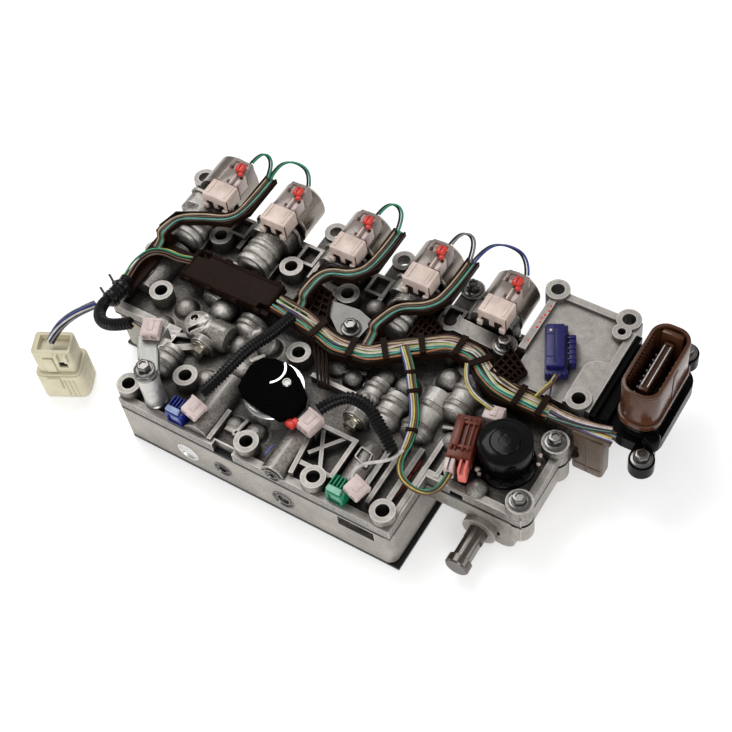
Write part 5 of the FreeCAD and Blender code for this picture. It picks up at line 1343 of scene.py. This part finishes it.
def swell_rings(x, y, long, radius, z):
    """Two raised rings and a rounded end on one swell, sunk in the deck."""
    profile = [(0, -4.2), (radius * 0.5, -3.5), (radius * 0.84, -1.5), (radius + 0.1, 0.8)]
    pitch = (long - 2.0) / 2.0
    for start in (2.4, 2.4 + pitch):
        profile += [(radius + 0.3, start), (radius + 1.8, start + 1.3), (radius + 1.9, start + 3.6),
                    (radius + 0.5, start + 5.0), (radius + 0.1, start + pitch * 0.8)]
    profile += [(radius + 0.1, long), (radius - 1.0, long + 0.6), (0, long + 0.6)]
    return lathe("swell", profile, (x, y, z), "y", 44)


finish(joined("bore_rings", [swell_rings(*swell) for swell in SWELLS]), ALUMINIUM)

# Forms of the deck between the bosses: domes (x, y, radius, top), a broad swell with a framed
# pocket, a ball-topped stud and low webs
DECK_FLOOR = 42.0
DOMES = [(-128.9, 30.4, 9.5, 52.0), (-153.3, 21.3, 7.5, 49.0), (-103.7, 12.5, 7.5, 49.5),
         (-98.5, 25.0, 7.5, 51.0), (31.6, 52.0, 8.5, 52.0), (48.2, 48.1, 8.5, 52.0), (37.1, 62.0, 7.0, 50.0),
         (-86.0, 21.0, 7.5, 49.0), (9.9, 35.0, 8.0, 50.0), (-24.0, 25.0, 6.5, 48.5),
         (-161.0, 3.0, 7.0, 47.5), (-92.0, -2.0, 8.5, 48.0), (-72.5, -39.0, 6.0, 47.0),
         (-57.0, -38.0, 7.0, 48.0), (54.0, 14.0, 6.5, 48.5), (-109.0, -19.0, 7.0, 47.5),
         (-38.0, 28.0, 6.5, 49.0), (-6.0, 34.0, 7.0, 49.0)]
WEBS = [((-152, -2), (-128, 6), 4.0), ((-76, -44), (-58, -44), 3.6), ((-98, -6), (-84, 14), 3.4),
        ((-16, 24), (6, 30), 3.6), ((22, 32), (40, 46), 3.0), ((-68, -47), (-66, -32), 3.2),
        ((-150, 20), (-126, 18), 3.6), ((-40, 24), (-18, 32), 3.2), ((44, 20), (56, 24), 3.0),
        ((-116, -24), (-98, -8), 3.0)]
POCKET = [(9.9, -18.1), (18.3, -19.6), (19.8, -29.2), (9.8, -25.8)]


def dome(x, y, radius, top):
    high = top - DECK_FLOOR
    profile = [(0, -0.6), (radius * 1.3, -0.6), (radius * 1.12, 0.5)]
    profile += [(radius * wide, high * share) for wide, share in (
        (1.0, 0.35), (0.9, 0.65), (0.66, 0.88), (0.34, 0.98), (0.0, 1.0))]
    return lathe("dome", profile, (x, y, DECK_FLOOR), "z", 32)


def deck_forms():
    parts = [dome(*entry) for entry in DOMES]
    parts += [wall("web", *web, DECK_FLOOR - 0.5, DECK_FLOOR + 4.0, 0.8) for web in WEBS]
    swell = [(0, -3.5), (5.0, -2.8), (7.6, -1.0), (8.5, 1.5), (8.5, 30.0), (7.4, 32.5), (0, 33.5)]
    parts.append(lathe("broad_swell", swell, (14.0, -43.5, 41.5), "y", 44))
    for one, other in zip(POCKET, POCKET[1:] + POCKET[:1]):
        parts.append(wall("pocket", one, other, 1.2, DECK_FLOOR + 5.0, DECK_FLOOR + 9.2, 0.3))
    stud = [(0, 0), (5.6, 0), (5.4, 6), (4.4, 8.4), (2.6, 9.2), (2.4, 10.4), (1.4, 11.2), (0, 11.4)]
    parts.append(lathe("stud", stud, (-5.7, 12.5, 45.0), "z", 32))
    finish(smooth(joined("deck_forms", parts)), ALUMINIUM)


deck_forms()


# Ribbed noses in front of the die-cast blocks
def nose_rings():
    profile = [(0, -0.4), (6.5, -0.4), (8.5, 0.4), (9.6, 1.6)]
    for start in (2.2, 8.6, 15.0):
        profile += [(11.7, start), (12.3, start + 1.4), (12.2, start + 3.4), (11.6, start + 4.6),
                    (10.2, start + 5.2)]
    profile += [(10.2, 22.0), (0, 22.0)]
    noses = [lathe("nose_ring", profile, (SOLENOID_X[n], 62.6, CAN_Z), "y", 48) for n in (0, 1, 3)]
    finish(joined("nose_rings", noses), NOSE_METAL)


nose_rings()


# Small solenoid: a cast housing with a slotted round head beside the zinc bolt
def small_solenoid():
    housing = lathe("small_housing", [(0, 0), (8.6, 0), (9.6, 1.2), (9.6, 5), (8.8, 5.6), (8.8, 9),
                                      (9.8, 9.8), (9.8, 20), (8.6, 22), (0, 22)], (-131, 10.5, 50), "x", 48)
    head = lathe("small_head", [(0, 0), (9.6, 0), (9.6, 6.6), (8.4, 8.4), (5.0, 9.2), (0, 9.2)],
                 (-132.0, 8.5, 50), "z", 44)
    carved(head, [block("slot", (-128.5, 6.2, 59), (2.8, 16, 9), -38.0, 0.3),
                  rod("bore", (-135.2, 10.0, 56), 2.6, 8, "z", 24)])
    coil = lathe("small_coil", [(0, 0), (6.8, 0), (6.8, 2.2), (5.9, 2.5), (5.9, 3.4), (6.8, 3.7), (6.8, 6.0),
                                (0, 6.0)], (-137.5, 10.5, 50), "x", 40)
    parts = [painted(housing, ALUMINIUM), painted(head, ALUMINIUM), painted(coil, CAN_METAL)]
    finish(smooth(joined("small_solenoid_body", parts)), None, ["small_solenoid"])


small_solenoid()

# Bracket of the upright sleeve: a folded sheet, and the sleeve's two rings
BRACKET = [(-134, -51), (-128, -55.5), (-121, -52), (-120, -44), (-131, -30), (-133, -15), (-146, -17),
           (-146, -30), (-135, -43)]
FOLDS = [((-146, -17), (-146, -30), 71), ((-146, -30), (-135.5, -43), 71), ((-131.2, -30), (-120.4, -44), 73),
         ((-133, -15.6), (-145, -17.4), 68)]
SLEEVE_RINGS = [([(6.9, 0), (7.9, 0), (7.9, 5.4), (7.2, 6.2), (6.9, 6.2), (6.9, 0)], 41.9),
                ([(6.9, 0), (7.5, 0.4), (7.5, 2.6), (6.9, 3), (6.9, 0)], 74.8)]

sheet = [plate("bracket_sheet", BRACKET, 78, 79.6, 0.3)]
sheet += [wall("fold", start, end, 1.4, low, 79.4) for start, end, low in FOLDS]
finish(smooth(joined("bracket_sheet", sheet)), PLATE_PALE, ["sensor_bracket"])
sleeve_rings = [lathe("sleeve_ring", profile, (-127, -48, level), "z", 40) for profile, level in SLEEVE_RINGS]
finish(joined("sleeve_rings", sleeve_rings), GROUND_STEEL)

# Front plugs: rims, a driven socket and a ringed face
FRONT = -59.0


def front_plug(x, z, radius, kind):
    profile = [(radius - 0.3, 1.4), (radius + 0.5, 0.2), (radius + 0.5, -0.35), (radius - 0.5, -0.35),
               (radius - 1.1, 0.8)]
    if kind == "ringed":
        profile += [(radius - 2.4, 0.8), (radius - 2.7, 0.2), (radius - 3.7, 0.2), (radius - 4.0, 1.4),
                    (0, 1.4)]
    elif kind == "socket":
        profile += [(radius - 2.6, 1.2), (radius - 2.8, -0.1), (radius - 3.4, -0.1), (radius - 3.5, 1.3),
                    (0, 1.3)]
    else:
        profile += [(0, 0.8)]
    return lathe("front_plug", profile, (x, FRONT, z), "y", 48)


finish(front_plug(-101.0, 17.7, 7.5, "plain"), BRIGHT_METAL)
dark_plugs = [front_plug(-73.5, 17.7, 6.5, "socket"), front_plug(-27.0, 17.7, 8.0, "ringed"),
              front_plug(-30.5, 45.0, 5.5, "socket")]
finish(joined("front_plugs", dark_plugs), BOLT_DARK)

# Paint marks of the works: a blue line and two red strips
marks = [painted(wall("blue_mark", (-38.6, -52), (-38, -44.4), 1.3, 53.3, 53.8, 0.1), BLUE),
         painted(wall("red_mark", (42.5, -34.2), (43.4, -17), 2.6, 42.0, 44.2, 0.2), SEAL_RED),
         painted(wall("red_mark", (43.6, -15), (43.9, -6), 2.0, 42.0, 43.6, 0.2), SEAL_RED)]
finish(joined("paint_marks", marks), None)

# White chips of sealant: x, y, size
CHIPS = [(78, 3.6, 1.8), (80.5, 1.2, 1.5), (83.5, -3.4, 1.9), (87, -5.0, 1.6), (108.4, 24, 1.3),
         (106.8, 30, 1.5), (72.5, 0.5, 1.4)]
CHIP_LEVEL = 46.2


def chip(x, y, z, size, turn):
    """A rough lump of sealant."""
    bpy.ops.mesh.primitive_ico_sphere_add(subdivisions=2, radius=size * MM, location=spot(x, y, z))
    lump = settle(fresh("chip"))
    for vertex in lump.data.vertices:
        vertex.co += Vector([random.uniform(-1, 1) for axis in range(3)]) * size * 0.16 * MM
    return turned_mesh(lump, turn, (x, y, z))


chips = [chip(x, y, CHIP_LEVEL, size, 31.0 * n) for n, (x, y, size) in enumerate(CHIPS)]
finish(smooth(joined("sealant_chips", chips)), WHITE)
